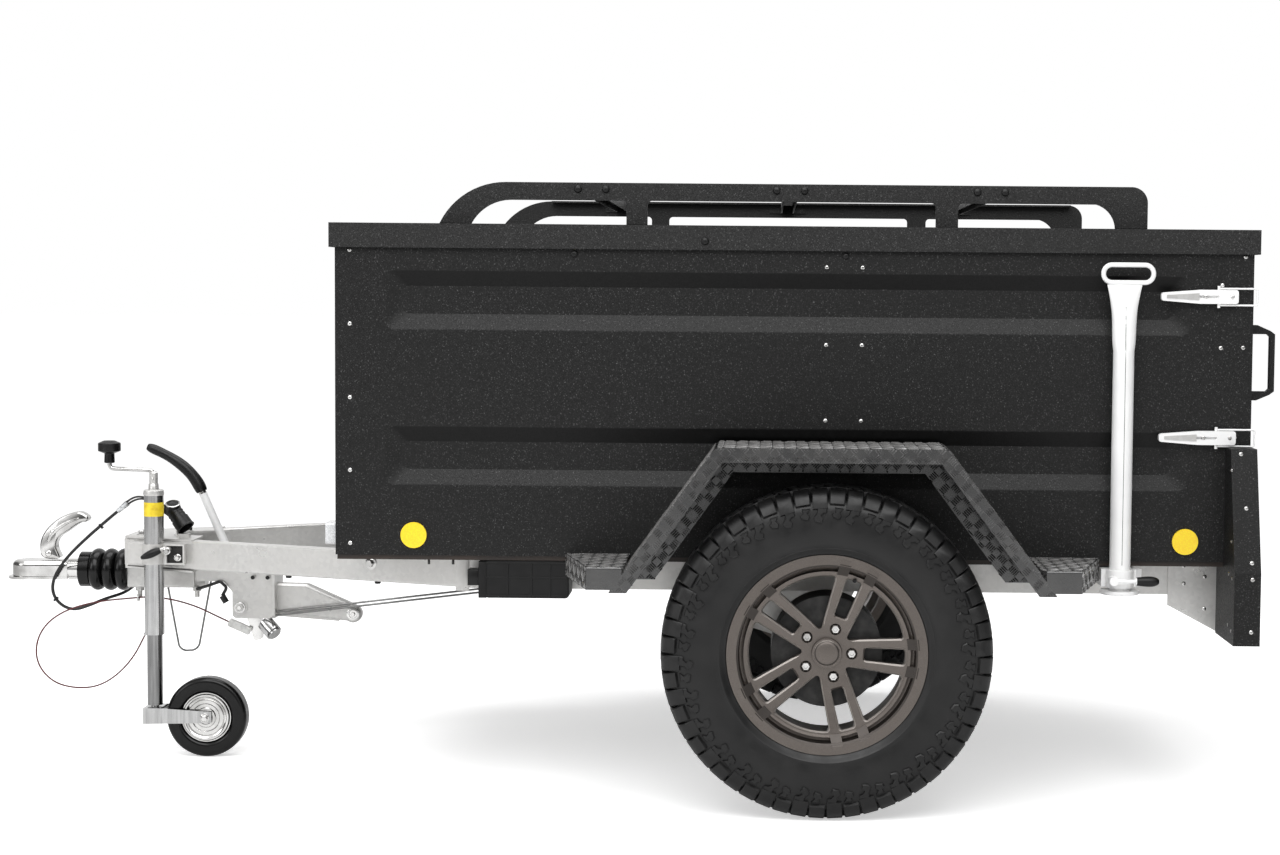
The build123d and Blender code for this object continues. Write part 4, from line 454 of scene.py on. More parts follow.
def lathe(bm, profile, place=Matrix.Identity(4), segments=16):
    """Turn a profile of (height, radius) points about place's Z axis; radius 0 closes an end."""
    rings = []
    for height, radius in profile:
        if radius == 0:
            rings.append([bm.verts.new(place @ Vector((0, 0, height)))])
            continue
        angles = [2 * math.pi * step / segments for step in range(segments)]
        rings.append([bm.verts.new(place @ Vector((radius * math.cos(a), radius * math.sin(a), height)))
                      for a in angles])
    for low, high in zip(rings, rings[1:]):
        for step in range(segments):
            ahead = (step + 1) % segments
            if len(low) == 1:
                bm.faces.new((low[0], high[step], high[ahead]))
            elif len(high) == 1:
                bm.faces.new((low[step], low[ahead], high[0]))
            else:
                bm.faces.new((low[step], low[ahead], high[ahead], high[step]))


def bridge(bm, rings):
    """Skin a row of equal rings of points and close both ends."""
    rows = [[bm.verts.new(point) for point in ring] for ring in rings]
    for low, high in zip(rows, rows[1:]):
        for step in range(len(low)):
            ahead = (step + 1) % len(low)
            bm.faces.new((low[step], low[ahead], high[ahead], high[step]))
    bm.faces.new(reversed(rows[0]))
    bm.faces.new(rows[-1])


def prism(bm, outline, depth, place=Matrix.Identity(4)):
    """Extrude an outline of (x, y) points from place's XY plane by depth along its Z axis."""
    bridge(bm, [[place @ Vector((x, y, height)) for x, y in outline] for height in (0, depth)])


def facing(point, outward, across=(1, 0, 0)):
    """A placement at point whose Z axis is outward and whose X axis lies along across."""
    z = Vector(outward).normalized()
    x = Vector(across) - z * z.dot(Vector(across))
    if x.length < 1e-6:
        x = z.orthogonal()
    x.normalize()
    rotation = Matrix((x, z.cross(x), z)).transposed().to_4x4()
    return Matrix.Translation(Vector(point)) @ rotation


def rod(bm, start, end, radius, segments=16):
    """A round bar between two points."""
    start, end = Vector(start), Vector(end)
    length = (end - start).length
    lathe(bm, ((0, 0), (0, radius), (length, radius), (length, 0)), facing(start, end - start), segments)


def rounded(line, rounds=2):
    """Cut the corners of a closed outline, twice as finely each round."""
    for step in range(rounds):
        line = [tuple(first[axis] + share * (second[axis] - first[axis]) for axis in (0, 1))
                for first, second in zip(line, line[1:] + line[:1]) for share in (0.25, 0.75)]
    return line


def inset(line, depth):
    """A closed outline moved in by depth along its normals."""
    moved = []
    for before, here, after in zip(line[-1:] + line[:-1], line, line[1:] + line[:1]):
        along = (Vector(after) - Vector(before)).normalized()
        moved.append((here[0] - along.y * depth, here[1] + along.x * depth))
    return moved


def eased_plate(bm, line, half, ease, place=Matrix.Identity(4)):
    """A plate of the outline line, from -half to half along place's Z axis, with eased edges."""
    rings = []
    for height, depth in ((-half, ease), (-half + 0.3 * ease, 0.3 * ease), (-half + ease, 0.0),
                          (half - ease, 0.0), (half - 0.3 * ease, 0.3 * ease), (half, ease)):
        rings.append([place @ Vector((x, y, height)) for x, y in inset(line, depth)])
    bridge(bm, rings)


def slab(bm, low, high, ease=0.0015):
    """An upright plate between two corners, with eased edges towards +Y and -Y."""
    (x0, y0, z0), (x1, y1, z1) = low, high
    place = facing((0, (y0 + y1) / 2, 0), (0, -1, 0))
    eased_plate(bm, [(x1, z0), (x1, z1), (x0, z1), (x0, z0)], abs(y1 - y0) / 2, ease, place)


surfaces = {}


def surface(node, start, aim):
    """Where a ray from start first meets a CAD node, with the surface's side that faces the ray."""
    if node not in surfaces:
        mesh = nodes[node].data
        surfaces[node] = BVHTree.FromPolygons([point.co for point in mesh.vertices],
                                              [face.vertices for face in mesh.polygons])
    point, normal, face, distance = surfaces[node].ray_cast(Vector(start), Vector(aim))
    if point is None:
        raise ValueError(f"nothing of {node} lies along {tuple(aim)} from {tuple(start)}")
    return point, -normal if normal.dot(Vector(aim)) > 0 else normal


def side_face(node, side, x, z):
    """A CAD node's outer face on one side, x behind the axle and z above the floor."""
    return surface(node, (AXLE + x, side, z), (0, -side, 0))


def bolt_head(bm, point, outward, across=0.013, height=0.008, washer=0.0):
    """Hexagon head with a chamfered top, on a washer where washer gives its diameter."""
    base = 0.0
    if washer:
        base = 0.0016
        lathe(bm, ((-0.001, 0), (-0.001, washer / 2), (base - 0.0004, washer / 2),
                   (base, washer / 2 - 0.0005), (base, 0)), facing(point, outward), segments=20)
    corner = across / math.sqrt(3)
    lathe(bm, ((base - 0.001, 0), (base - 0.001, corner), (base + 0.8 * height, corner),
               (base + height, 0.82 * corner), (base + height, 0)), facing(point, outward), segments=6)


def dome(bm, point, outward, radius=0.0046, height=0.0024):
    """Domed rivet or button head."""
    profile = [(-0.001, 0), (-0.001, radius), (0.25 * height, radius)]
    for step in (1, 2, 3):
        angle = step * math.pi / 8
        profile.append((height * (0.25 + 0.75 * math.sin(angle)), radius * math.cos(angle)))
    lathe(bm, profile + [(height, 0)], facing(point, outward), segments=14)


def blind_rivet(bm, point, outward):
    """Blind rivet: a flat dome with the mandrel's dimple in the middle."""
    lathe(bm, ((-0.001, 0), (-0.001, 0.0048), (0.0006, 0.0048), (0.0017, 0.0036), (0.0021, 0.0020),
               (0.0012, 0.0012), (0.0012, 0)), facing(point, outward), segments=14)


# ---------------------------------------------------------------- loose cables
ELECTRICAL_ROUTE = (
    (-1.762, 0.044, 0.418), (-1.784, 0.044, 0.398), (-1.808, 0.034, 0.381), (-1.848, 0.016, 0.370),
    (-1.890, -0.002, 0.352), (-1.922, -0.013, 0.343), (-1.950, -0.020, 0.354), (-1.968, -0.030, 0.379),
    (-1.970, -0.039, 0.410), (-1.955, -0.047, 0.446), (-1.922, -0.054, 0.489), (-1.879, -0.060, 0.530),
    (-1.833, -0.066, 0.570), (-1.789, -0.073, 0.606))
LEAD_ROUTES = {
    "upper": ((-1.765, -0.077, 0.630), (-1.749, -0.0795, 0.643), (-1.721, -0.084, 0.645),
              (-1.694, -0.089, 0.635), (-1.672, -0.092, 0.620)),
    "lower": ((-1.7605, -0.0776, 0.6254), (-1.743, -0.085, 0.637), (-1.717, -0.095, 0.641),
              (-1.693, -0.101, 0.634), (-1.672, -0.102, 0.620))}
BREAKAWAY_ROUTE = (
    (-1.521, -0.015, 0.316), (-1.555, -0.016, 0.332), (-1.599, -0.019, 0.354), (-1.651, -0.022, 0.371),
    (-1.697, -0.021, 0.378), (-1.728, -0.017, 0.380), (-1.782, -0.011, 0.374), (-1.838, -0.014, 0.369),
    (-1.890, -0.026, 0.360), (-1.938, -0.036, 0.344), (-1.975, -0.042, 0.320), (-2.000, -0.045, 0.288),
    (-2.011, -0.046, 0.250), (-2.008, -0.045, 0.213), (-1.991, -0.040, 0.180), (-1.961, -0.030, 0.153),
    (-1.920, -0.008, 0.139), (-1.880, 0.020, 0.137), (-1.845, 0.043, 0.153), (-1.815, 0.056, 0.180),
    (-1.789, 0.060, 0.213), (-1.771, 0.056, 0.244), (-1.757, 0.050, 0.270))


def route_curve(name, route, diameter, look, body):
    """A round cable whose smooth line has the route's points, measured from the axle, as its controls."""
    curve = bpy.data.curves.new(name, "CURVE")
    curve.dimensions = "3D"
    curve.bevel_depth = diameter / 2
    curve.bevel_resolution = 3
    curve.use_fill_caps = True
    spline = curve.splines.new("NURBS")
    spline.points.add(len(route) - 1)
    for point, (x, y, z) in zip(spline.points, route):
        point.co = (AXLE + x, y, z, 1)
    spline.order_u = 3
    spline.use_endpoint_u = True
    spline.resolution_u = 8
    curve.materials.append(looks[look])
    piece = bpy.data.objects.new(name, curve)
    scene.collection.objects.link(piece)
    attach(piece, body)
    return piece


def make_cords():
    cable = route_curve("black_cable", ELECTRICAL_ROUTE, 0.008, "cable_black", "chassis")
    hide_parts("electrical_cable")
    for place, route in LEAD_ROUTES.items():
        lead = route_curve("black_lead_" + place, route, 0.005, "cable_black", "chassis")
        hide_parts("plug_lead_" + place)
    red = route_curve("red_cable", BREAKAWAY_ROUTE, 0.004, "cable_red", "chassis")
    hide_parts("breakaway_cable")


make_cords()


# ---------------------------------------------------------------- tyres
PITCHES = 56                      # tread blocks round each shoulder
GROOVE_FLOOR = WHEEL_RADIUS - 0.0155
# half a tyre's section and its shoulder blocks, as (metres from the centre plane, radius)
CARCASS = ((0.0, GROOVE_FLOOR), (0.060, 0.3555), (0.080, 0.350), (0.090, 0.342), (0.0955, 0.333),
           (0.0985, 0.322), (0.1010, 0.305), (0.1025, 0.288), (0.1020, 0.270), (0.1000, 0.252),
           (0.0975, 0.243), (0.0982, 0.2405), (0.0965, 0.237), (0.0925, 0.2335), (0.0885, 0.2255),
           (0.0835, 0.2245), (0.0820, 0.2068), (0.070, 0.2062), (0.076, 0.230), (0.088, 0.255),
           (0.090, 0.288), (0.086, 0.322), (0.070, 0.345), (0.0, 0.351))
SHOULDER_TOP = ((0.062, 0.3712), (0.078, 0.3685), (0.0885, 0.3615), (0.0950, 0.3525), (0.0995, 0.3400),
                (0.1018, 0.3290))
SHOULDER_ROOT = ((0.060, 0.3540), (0.076, 0.3500), (0.083, 0.3460), (0.089, 0.3400), (0.0925, 0.3330),
                 (0.0960, 0.3260))
BLOCK_ROWS = (                    # tread blocks in plan, as (share of two pitches, metres from the centre)
    ((0.04, 0.003), (0.46, 0.003), (0.52, 0.010), (0.86, 0.010), (0.94, 0.026), (0.50, 0.026),
     (0.44, 0.018), (0.10, 0.018)),
    ((0.30, 0.032), (0.74, 0.032), (0.80, 0.040), (1.18, 0.042), (1.24, 0.057), (0.82, 0.057),
     (0.76, 0.049), (0.36, 0.047)))
LONG_CLAW = (                     # sidewall lugs, as (share of a pitch, radius)
    (0.06, 0.330), (0.66, 0.332), (0.74, 0.319), (0.97, 0.310), (0.86, 0.300), (0.46, 0.296),
    (0.34, 0.305), (0.52, 0.313), (0.28, 0.321), (0.08, 0.321))
SHORT_CLAW = ((0.10, 0.330), (0.62, 0.331), (0.56, 0.322), (0.80, 0.317), (0.72, 0.309), (0.30, 0.304),
              (0.18, 0.313), (0.32, 0.321))


def wheel_point(side, turn, radius, out):
    """Point on a road wheel: turn in radians, out in metres outboard of the wheel's centre plane."""
    return Vector((AXLE + radius * math.cos(turn), side * (WHEEL_Y + out),
                   WHEEL_RADIUS + radius * math.sin(turn)))


def sidewall_out(radius):
    """How far outboard the bare sidewall stands at a radius."""
    for (upper_out, upper), (lower_out, lower) in zip(CARCASS, CARCASS[1:]):
        if lower <= radius <= upper:
            return lower_out + (upper_out - lower_out) * (radius - lower) / (upper - lower)
    return CARCASS[0][0]


def crown(out):
    """Radius of the tread's face at a distance from the centre plane."""
    return WHEEL_RADIUS - 0.45 * out * out


def shrunk(outline, share):
    """An outline drawn in towards the mean of its points."""
    mean = [sum(point[axis] for point in outline) / len(outline) for axis in (0, 1)]
    return [[mean[axis] + (point[axis] - mean[axis]) * share for axis in (0, 1)] for point in outline]


def shoulder_block(bm, side, face, start, end, reach):
    """A block that wraps from the tread over the shoulder; reach is how many of its points it uses."""
    tops, roots = SHOULDER_TOP[:reach], SHOULDER_ROOT[:reach]
    rings = []
    for turn, ease in ((start, 0.14), (start + 0.006, 0.0), (end - 0.006, 0.0), (end, 0.14)):
        section = [[high + ease * (low - high) for high, low in zip(top, root)]
                   for top, root in zip(tops, roots)]
        section.extend(roots[::-1])
        rings.append([wheel_point(side, turn, radius, face * out) for out, radius in section])
    bridge(bm, rings)


def tread_block(bm, side, outline, face, start, pitch):
    """A raised block of the tread with an eased top edge."""
    bridge(bm, [[wheel_point(side, start + face * share * pitch, crown(out) - sink, face * out)
                 for share, out in shrunk(outline, size)]
                for sink, size in ((0.016, 1.0), (0.0015, 1.0), (0.0, 0.93))])


def claw(bm, side, face, outline, start, pitch):
    """A shallow raised lug on the sidewall."""
    bridge(bm, [[wheel_point(side, start + share * pitch, radius, face * (sidewall_out(radius) + lift))
                 for share, radius in shrunk(outline, size)]
                for lift, size in ((-0.002, 1.0), (0.0030, 0.97), (0.0048, 0.82))])


def make_tyre(side, name):
    """All-terrain tyre: carcass, staggered tread blocks, shoulder blocks and sidewall claws."""
    bm = bmesh.new()
    section = [(-out, radius) for out, radius in reversed(CARCASS)][:-1] + list(CARCASS)
    lathe(bm, section + section[:1], wheel_hub(side), segments=144)
    pitch = 2 * math.pi / PITCHES
    for step in range(PITCHES):
        start = step * pitch
        even = step % 2 == 0
        for face in (-1, 1):
            reach = len(SHOULDER_TOP) if even else len(SHOULDER_TOP) - 1
            shoulder_block(bm, side, face, start + 0.06 * pitch, start + 0.94 * pitch, reach)
            claw(bm, side, face, LONG_CLAW if even else SHORT_CLAW, start, pitch)
            if even:
                for outline in BLOCK_ROWS:
                    tread_block(bm, side, outline, face, start, 2 * pitch)
    bmesh.ops.remove_doubles(bm, verts=bm.verts, dist=1e-6)
    tyre = mesh_piece("all_terrain_tyre_" + name, bm, "tyre", "wheel_" + name, smooth_angle=32)
    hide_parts("tyre_" + name)


def wheel_hub(side):
    """A placement at a road wheel's centre whose Z axis points outboard."""
    return facing((AXLE, side * WHEEL_Y, WHEEL_RADIUS), (0, side, 0))


def both(make):
    """Make a pair of details, the left one first."""
    for side, name in SIDES:
        make(side, name)


both(make_tyre)


# ---------------------------------------------------------------- fasteners, as (x, z) from axle and floor
PANEL_RIVETS = [(-1.098, z) for z in (1.265, 1.096, 0.927, 0.759, 0.590)]
PANEL_RIVETS += [(x, z) for x in (-0.004, 0.078) for z in (1.234, 1.056, 0.882)]
PANEL_RIVETS += [(0.954, 1.266), (0.901, 1.057), (0.952, 1.058), (0.937, 0.852)]
PANEL_BOLTS = ((-0.583, 1.260), (0.039, 1.260))
LID_BOLT = (-0.283, 1.291)
GUARD_SIDE_RIVETS = ((0.940, 0.818), (0.948, 0.697), (0.957, 0.576), (0.958, 0.539), (0.957, 0.420))
REAR_PLATE_RIVETS = ((0.840, 0.545), (0.841, 0.503), (0.890, 0.520), (0.890, 0.444))
GUARD_FACE_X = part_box("lamp_guards")[0].x
GUARD_FACE_RIVETS = (             # as (y, z), on the guards' front faces
    (0.672, 0.781), (0.690, 0.621), (0.668, 0.545), (0.706, 0.539), (0.668, 0.428), (0.706, 0.419))
CROSSBAR_BOLTS = (-0.579, -0.515, -0.120, -0.056, 0.343, 0.407)
CROSSBAR_END, CROSSBAR_Z = 0.553, 1.410


def make_fasteners():
    """Rivets and round-headed bolts of the panels, rear plates, lamp guards, lid and roof rails."""
    rivets, panel, crossbar, lid = (bmesh.new() for piece in range(4))
    for side, name in SIDES:
        outward = (0, side, 0)
        for x, z in PANEL_RIVETS:
            blind_rivet(rivets, (AXLE + x, side * BOX_SIDE, z), outward)
        for x, z in PANEL_BOLTS:
            dome(panel, (AXLE + x, side * BOX_SIDE, z), outward, radius=0.008, height=0.005)
        for y, z in GUARD_FACE_RIVETS:
            blind_rivet(rivets, (GUARD_FACE_X, side * y, z), (-1, 0, 0))
        for node, places in (("lamp_guards", GUARD_SIDE_RIVETS), ("chassis_frame", REAR_PLATE_RIVETS)):
            for x, z in places:
                blind_rivet(rivets, *side_face(node, side, x, z))
        for x in CROSSBAR_BOLTS:
            dome(crossbar, (AXLE + x, side * CROSSBAR_END, CROSSBAR_Z), outward, radius=0.009, height=0.006)
        dome(lid, (AXLE + LID_BOLT[0], side * LID_SIDE, LID_BOLT[1]), outward, radius=0.009, height=0.006)
    mesh_piece("panel_rivets", rivets, "steel_zinc", "chassis")
    mesh_piece("panel_bolts", panel, "black_plastic", "chassis")
    mesh_piece("crossbar_bolts", crossbar, "black_plastic", "lid")
    mesh_piece("lid_bolts", lid, "black_plastic", "lid")


make_fasteners()


# ---------------------------------------------------------------- wheel bolts, caps and valves
SPOKE_PAIRS = 5
SPOKE_ANGLE = -2                  # of the first pair of spokes, in degrees above the horizontal
BOLT_CIRCLE = 0.056
BOLT_SEAT_OUT = 0.036
VALVE_ANGLE = 70
VALVE_CIRCLE = 0.176
VALVE_OUT = 0.050


def wheel_place(side, degrees, radius, out):
    """A placement on a road wheel's face; degrees run from the rear upwards, mirrored on the right wheel."""
    turn = math.radians(degrees)
    turn = turn if side == LEFT else math.pi - turn
    return facing(wheel_point(side, turn, radius, out), (0, side, 0))


def make_wheel_hardware(side, name):
    """Chromed wheel bolts in their pockets, a domed centre cap with its rim, and the valve."""
    bolts, cap, valve = bmesh.new(), bmesh.new(), bmesh.new()
    for pair in range(SPOKE_PAIRS):
        place = wheel_place(side, SPOKE_ANGLE + 360 / SPOKE_PAIRS * pair, BOLT_CIRCLE, BOLT_SEAT_OUT)
        lathe(bolts, ((0.0, 0), (0.0, 0.0074), (0.005, 0.0108), (0.0075, 0.0112), (0.0085, 0.0100)), place,
              segments=24)
        lathe(bolts, ((0.006, 0.0098), (0.0165, 0.0098), (0.0180, 0.0084), (0.0180, 0.0050),
                      (0.0145, 0.0046), (0.0145, 0)), place, segments=6)
    lathe(cap, ((0.056, 0.0335), (0.0585, 0.0330), (0.0590, 0.0305), (0.0582, 0.0288), (0.0600, 0.0270),
                (0.0618, 0.0200), (0.0628, 0.0100), (0.0631, 0)), wheel_hub(side), segments=48)
    lathe(valve, ((0.0, 0), (0.0, 0.0062), (0.006, 0.0045), (0.016, 0.0034), (0.017, 0.0044),
                  (0.030, 0.0044), (0.032, 0.0034), (0.032, 0)),
          wheel_place(side, VALVE_ANGLE, VALVE_CIRCLE, VALVE_OUT), segments=14)
    wheel = "wheel_" + name
    mesh_piece("wheel_bolts_" + name, bolts, "steel_zinc", wheel, smooth_angle=30)
    mesh_piece("centre_cap_" + name, cap, "alloy_bronze", wheel, smooth_angle=50)
    mesh_piece("valve_" + name, valve, "black_plastic", wheel)


both(make_wheel_hardware)


# ---------------------------------------------------------------- chequer plate
CELL = 0.027
BAR_LENGTH = 0.0195
BAR_HALF = 0.0017
BAR_HEIGHT = 0.0013
BARS = 5
BAR_GAP = 0.0048
BAR_STEPS = 8                     # a bar is kept as far as its steps lie in the outline
BAR_FOOT = ((-1, 0), (-0.6, -1), (0.6, -1), (1, 0), (0.6, 1), (-0.6, 1))
BAR_FACES = ((0, 1, 6), (1, 2, 7, 6), (2, 3, 7), (3, 4, 7), (4, 5, 6, 7), (5, 0, 6))
FENDER_LINE = ((-0.484, 0.512), (-0.251, FENDER_TOP), (0.263, FENDER_TOP), (0.505, 0.512))
LIP_DEPTH = 0.032
FLANGE_DEPTH = 0.072
PLATE_EDGE = 0.003
PLATE_GAP = 0.004
STEP_LOW, STEP_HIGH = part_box("fender_steps")
STEP_REACHES = (                  # ahead or behind, and how far out: at the box, the corner, the inner edge
    (1, (0.600, 0.533, 0.449)), (-1, (0.631, 0.558, 0.470)))


def inside(point, outline):
    """True where a point lies in an outline, both as (across, up) pairs."""
    x, y = point
    within = False
    for (x0, y0), (x1, y1) in zip(outline, outline[1:] + outline[:1]):
        if (y0 > y) != (y1 > y) and x < x0 + (y - y0) * (x1 - x0) / (y1 - y0):
            within = not within
    return within


def chequer_bar(bm, place, centre, along, outline):
    """One ridged bar on place's XY plane, cut short where it would leave the outline."""
    aside = Vector((-along.y, along.x))
    steps = [centre + along * BAR_LENGTH * (step / BAR_STEPS - 0.5) for step in range(BAR_STEPS + 1)]
    kept = [step for step in steps if inside(step, outline)]
    if len(kept) < 3:
        return
    heart, half = (kept[0] + kept[-1]) / 2, (kept[-1] - kept[0]).length / 2
    foot = [heart + along * share * half + aside * wide * BAR_HALF for share, wide in BAR_FOOT]
    ridge = [heart + along * share * half for share in (-0.7, 0.7)]
    corners = [bm.verts.new(place @ Vector((*point, height)))
               for line, height in ((foot, 0), (ridge, BAR_HEIGHT)) for point in line]
    for face in BAR_FACES:
        bm.faces.new([corners[corner] for corner in face])


def chequer(bm, origin, across, up, outline):
    """Rolled pattern of bar groups that alternate in direction, on the plane of across and up."""
    place = facing(origin, Vector(across).cross(Vector(up)), across)
    low = [min(point[axis] for point in outline) for axis in (0, 1)]
    columns, rows = (int((max(point[axis] for point in outline) - low[axis]) / CELL) + 2 for axis in (0, 1))
    for column in range(columns):
        for row in range(rows):
            lean = math.radians(45 if (row + column) % 2 else -45)
            along = Vector((math.cos(lean), math.sin(lean)))
            for bar in range(BARS):
                centre = Vector((low[0] + column * CELL, low[1] + row * CELL))
                centre += Vector((-along.y, along.x)) * (bar - (BARS - 1) / 2) * BAR_GAP
                chequer_bar(bm, place, centre, along, outline)


def crossing(first, second):
    """Where two straight runs, made longer, meet."""
    (ax, az), (bx, bz) = first
    (cx, cz), (dx, dz) = second
    turn = (bx - ax) * (dz - cz) - (bz - az) * (dx - cx)
    share = ((cx - ax) * (dz - cz) - (cz - az) * (dx - cx)) / turn
    return ax + share * (bx - ax), az + share * (bz - az)


def inner_line(line, depth):
    """A line's copy, depth below it on the inner side, with its ends kept at the same height."""
    ends = [((-1, z), (1, z)) for x, z in (line[0], line[-1])]
    runs = ends[:1]
    for (x0, z0), (x1, z1) in zip(line, line[1:]):
        normal = Vector((z1 - z0, x0 - x1)).normalized() * depth
        runs.append(((x0 + normal.x, z0 + normal.y), (x1 + normal.x, z1 + normal.y)))
    runs += ends[1:]
    return [crossing(first, second) for first, second in zip(runs, runs[1:])]


def rectangle(x0, x1, y1):
    """The outline from (x0, 0) to (x1, y1)."""
    return [(x0, 0), (x1, 0), (x1, y1), (x0, y1)]


def make_chequer(side, name):
    """Bars on the fender's lip, inner flange, top plates and on the steps in front and behind."""
    bm = bmesh.new()
    line = [(AXLE + x, z) for x, z in FENDER_LINE]
    for y, depth in ((FENDER_SIDE, LIP_DEPTH), (BOX_SIDE + PLATE_EDGE, FLANGE_DEPTH)):
        outline = [(-side * x, z) for x, z in line + inner_line(line, depth)[::-1]]
        chequer(bm, (0, side * y, 0), (-side, 0, 0), (0, 0, 1), outline)
    width = FENDER_SIDE - BOX_SIDE - 2 * PLATE_EDGE
    edge = min(side * FENDER_SIDE, side * BOX_SIDE) + PLATE_EDGE
    for (x0, z0), (x1, z1) in zip(line, line[1:]):
        run = Vector((x1 - x0, 0, z1 - z0))
        chequer(bm, (x0, edge, z0), run, (0, 1, 0), rectangle(PLATE_GAP, run.length - PLATE_GAP, width))
    for ahead, reaches in STEP_REACHES:
        at_box, at_corner, inner = (AXLE - ahead * reach for reach in reaches)
        top = [(at_box, side * BOX_SIDE), (at_corner, side * FENDER_SIDE), (inner, side * FENDER_SIDE),
               (inner, side * BOX_SIDE)]
        chequer(bm, (0, 0, STEP_HIGH.z), (1, 0, 0), (0, 1, 0), top)
        corner = Vector((at_corner, side * FENDER_SIDE, STEP_LOW.z))
        root = Vector((at_box, side * BOX_SIDE, STEP_LOW.z))
        start, end = (root, corner) if ahead != side else (corner, root)
        face = rectangle(0, (end - start).length, STEP_HIGH.z - STEP_LOW.z)
        chequer(bm, start, end - start, (0, 0, 1), face)
    mesh_piece("chequer_bars_" + name, bm, "black_chequer_plate", "chassis", smooth_angle=20)


both(make_chequer)


# ---------------------------------------------------------------- coupling handle and brake rods
HEAD_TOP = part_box("coupling_head")[1].z
HANDLE_HALF = 0.017
HANDLE_LINE = (                   # seen from the side, measured from the axle and the floor
    (-2.003, HEAD_TOP), (-2.009, 0.500), (-2.007, 0.521), (-1.999, 0.540), (-1.984, 0.560), (-1.957, 0.582),
    (-1.930, 0.594), (-1.908, 0.598), (-1.896, 0.594), (-1.884, 0.586), (-1.882, 0.578), (-1.888, 0.571),
    (-1.899, 0.571), (-1.915, 0.563), (-1.935, 0.547), (-1.954, 0.536), (-1.965, 0.524), (-1.968, 0.505),
    (-1.960, 0.490), (-1.955, HEAD_TOP))
HANDLE_RIDGE = ((-1.990, 0.520), (-1.984, 0.540), (-1.962, 0.561), (-1.930, 0.578), (-1.906, 0.584),
                (-1.904, 0.578), (-1.928, 0.570), (-1.954, 0.553), (-1.975, 0.535), (-1.980, 0.519))
HANDLE_HEADS = ((-1.985, 0.489, 0.0085), (-1.975, 0.545, 0.0050))
UPRIGHT = facing((0, 0, 0), (0, -1, 0))       # a placement for outlines seen from the left-hand side
ROD_Y = -0.025
ROD_FRONT, ROD_BEND, ROD_REAR = (Vector((AXLE + x, ROD_Y, z))
                                 for x, z in ((-1.396, 0.340), (-0.800, 0.4135), (-0.206, 0.425)))
ROD_GAP = 0.0045
YOKE = ((-0.015, -0.012), (0.012, -0.012), (0.024, 0.0), (0.012, 0.012), (-0.015, 0.012))


def side_outline(line):
    """A smooth closed outline from points that run clockwise, measured from the axle and the floor."""
    return rounded([(AXLE + x, z) for x, z in line[::-1]])


def make_coupling_handle():
    """A pressed handle that sweeps up and back, with a ridge, a hinge bolt and a pin on either side."""
    bm = bmesh.new()
    eased_plate(bm, side_outline(HANDLE_LINE), HANDLE_HALF, 0.005, UPRIGHT)
    for side in (1, -1):
        for x, z, radius in HANDLE_HEADS:
            dome(bm, (AXLE + x, side * HANDLE_HALF, z), (0, side, 0), radius=radius, height=0.004)
        eased_plate(bm, side_outline(HANDLE_RIDGE), 0.0025, 0.0022,
                    Matrix.Translation((0, side * (HANDLE_HALF - 0.0002), 0)) @ UPRIGHT)
    handle = mesh_piece("coupling_lever", bm, "steel_zinc", "chassis", smooth_angle=45)
    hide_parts("coupling_handle")


def make_brake_rods():
    """Two thin rods from the handbrake's bracket to a yoke, and one from there to the axle."""
    bm = bmesh.new()
    for lift in (-ROD_GAP, ROD_GAP):
        rod(bm, ROD_FRONT + Vector((0, 0, lift)), ROD_BEND + Vector((0, 0, lift)), 0.0026)
    rod(bm, ROD_BEND, ROD_REAR, 0.004)
    yoke = rounded([(ROD_BEND.x + x, ROD_BEND.z + z) for x, z in YOKE[::-1]])
    eased_plate(bm, yoke, 0.005, 0.002, Matrix.Translation((0, ROD_Y, 0)) @ UPRIGHT)
    bolt_head(bm, ROD_BEND - Vector((0, 0.005, 0)), (0, -1, 0), across=0.010, height=0.005)
    rods = mesh_piece("brake_rod_pair", bm, "steel_zinc", "chassis", finish=DULL)
    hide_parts("brake_rods")


make_coupling_handle()
make_brake_rods()


# ---------------------------------------------------------------- wheel chocks and drawbar joint
CHOCK_LOW, CHOCK_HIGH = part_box("wheel_chocks")
CHOCK_RIB = 0.0022                # how far the ribs stand past the chock's face, and how deep they start
CHOCK_RIB_ROOT = 0.004
BEAM_JOINT = AXLE - 0.850
JOINT_HALF = 0.016
CHASSIS_FOOT, CHASSIS_TOP = 0.470, 0.552


def make_chock_details(side, name):
    """The chock's front flange with its locating lug, its long shelf and its upright ribs."""
    bm = bmesh.new()
    front, rear, foot, top = CHOCK_LOW.x, CHOCK_HIGH.x, CHOCK_LOW.z, CHOCK_HIGH.z
    out = side * -CHOCK_LOW.y
    proud = out + side * CHOCK_RIB
    root = out - side * CHOCK_RIB_ROOT
    slab(bm, (front - 0.014, out - side * 0.060, foot), (front + 0.004, proud, top - 0.002))
    slab(bm, (front - 0.040, out - side * 0.050, foot + 0.028), (front - 0.012, root, foot + 0.064))
    for z in (foot + 0.004, foot + 0.047, top - 0.006):
        slab(bm, (front, root, z), (rear - 0.004, proud, z + 0.0035), ease=0.001)
    for share in (0.30, 0.58, 0.80, 1.0):
        x = front + share * (rear - front) - 0.006
        slab(bm, (x, root, foot + 0.004), (x + 0.003, proud, top - 0.004), ease=0.001)
    mesh_piece("chock_ribs_" + name, bm, "black_plastic", "chassis")


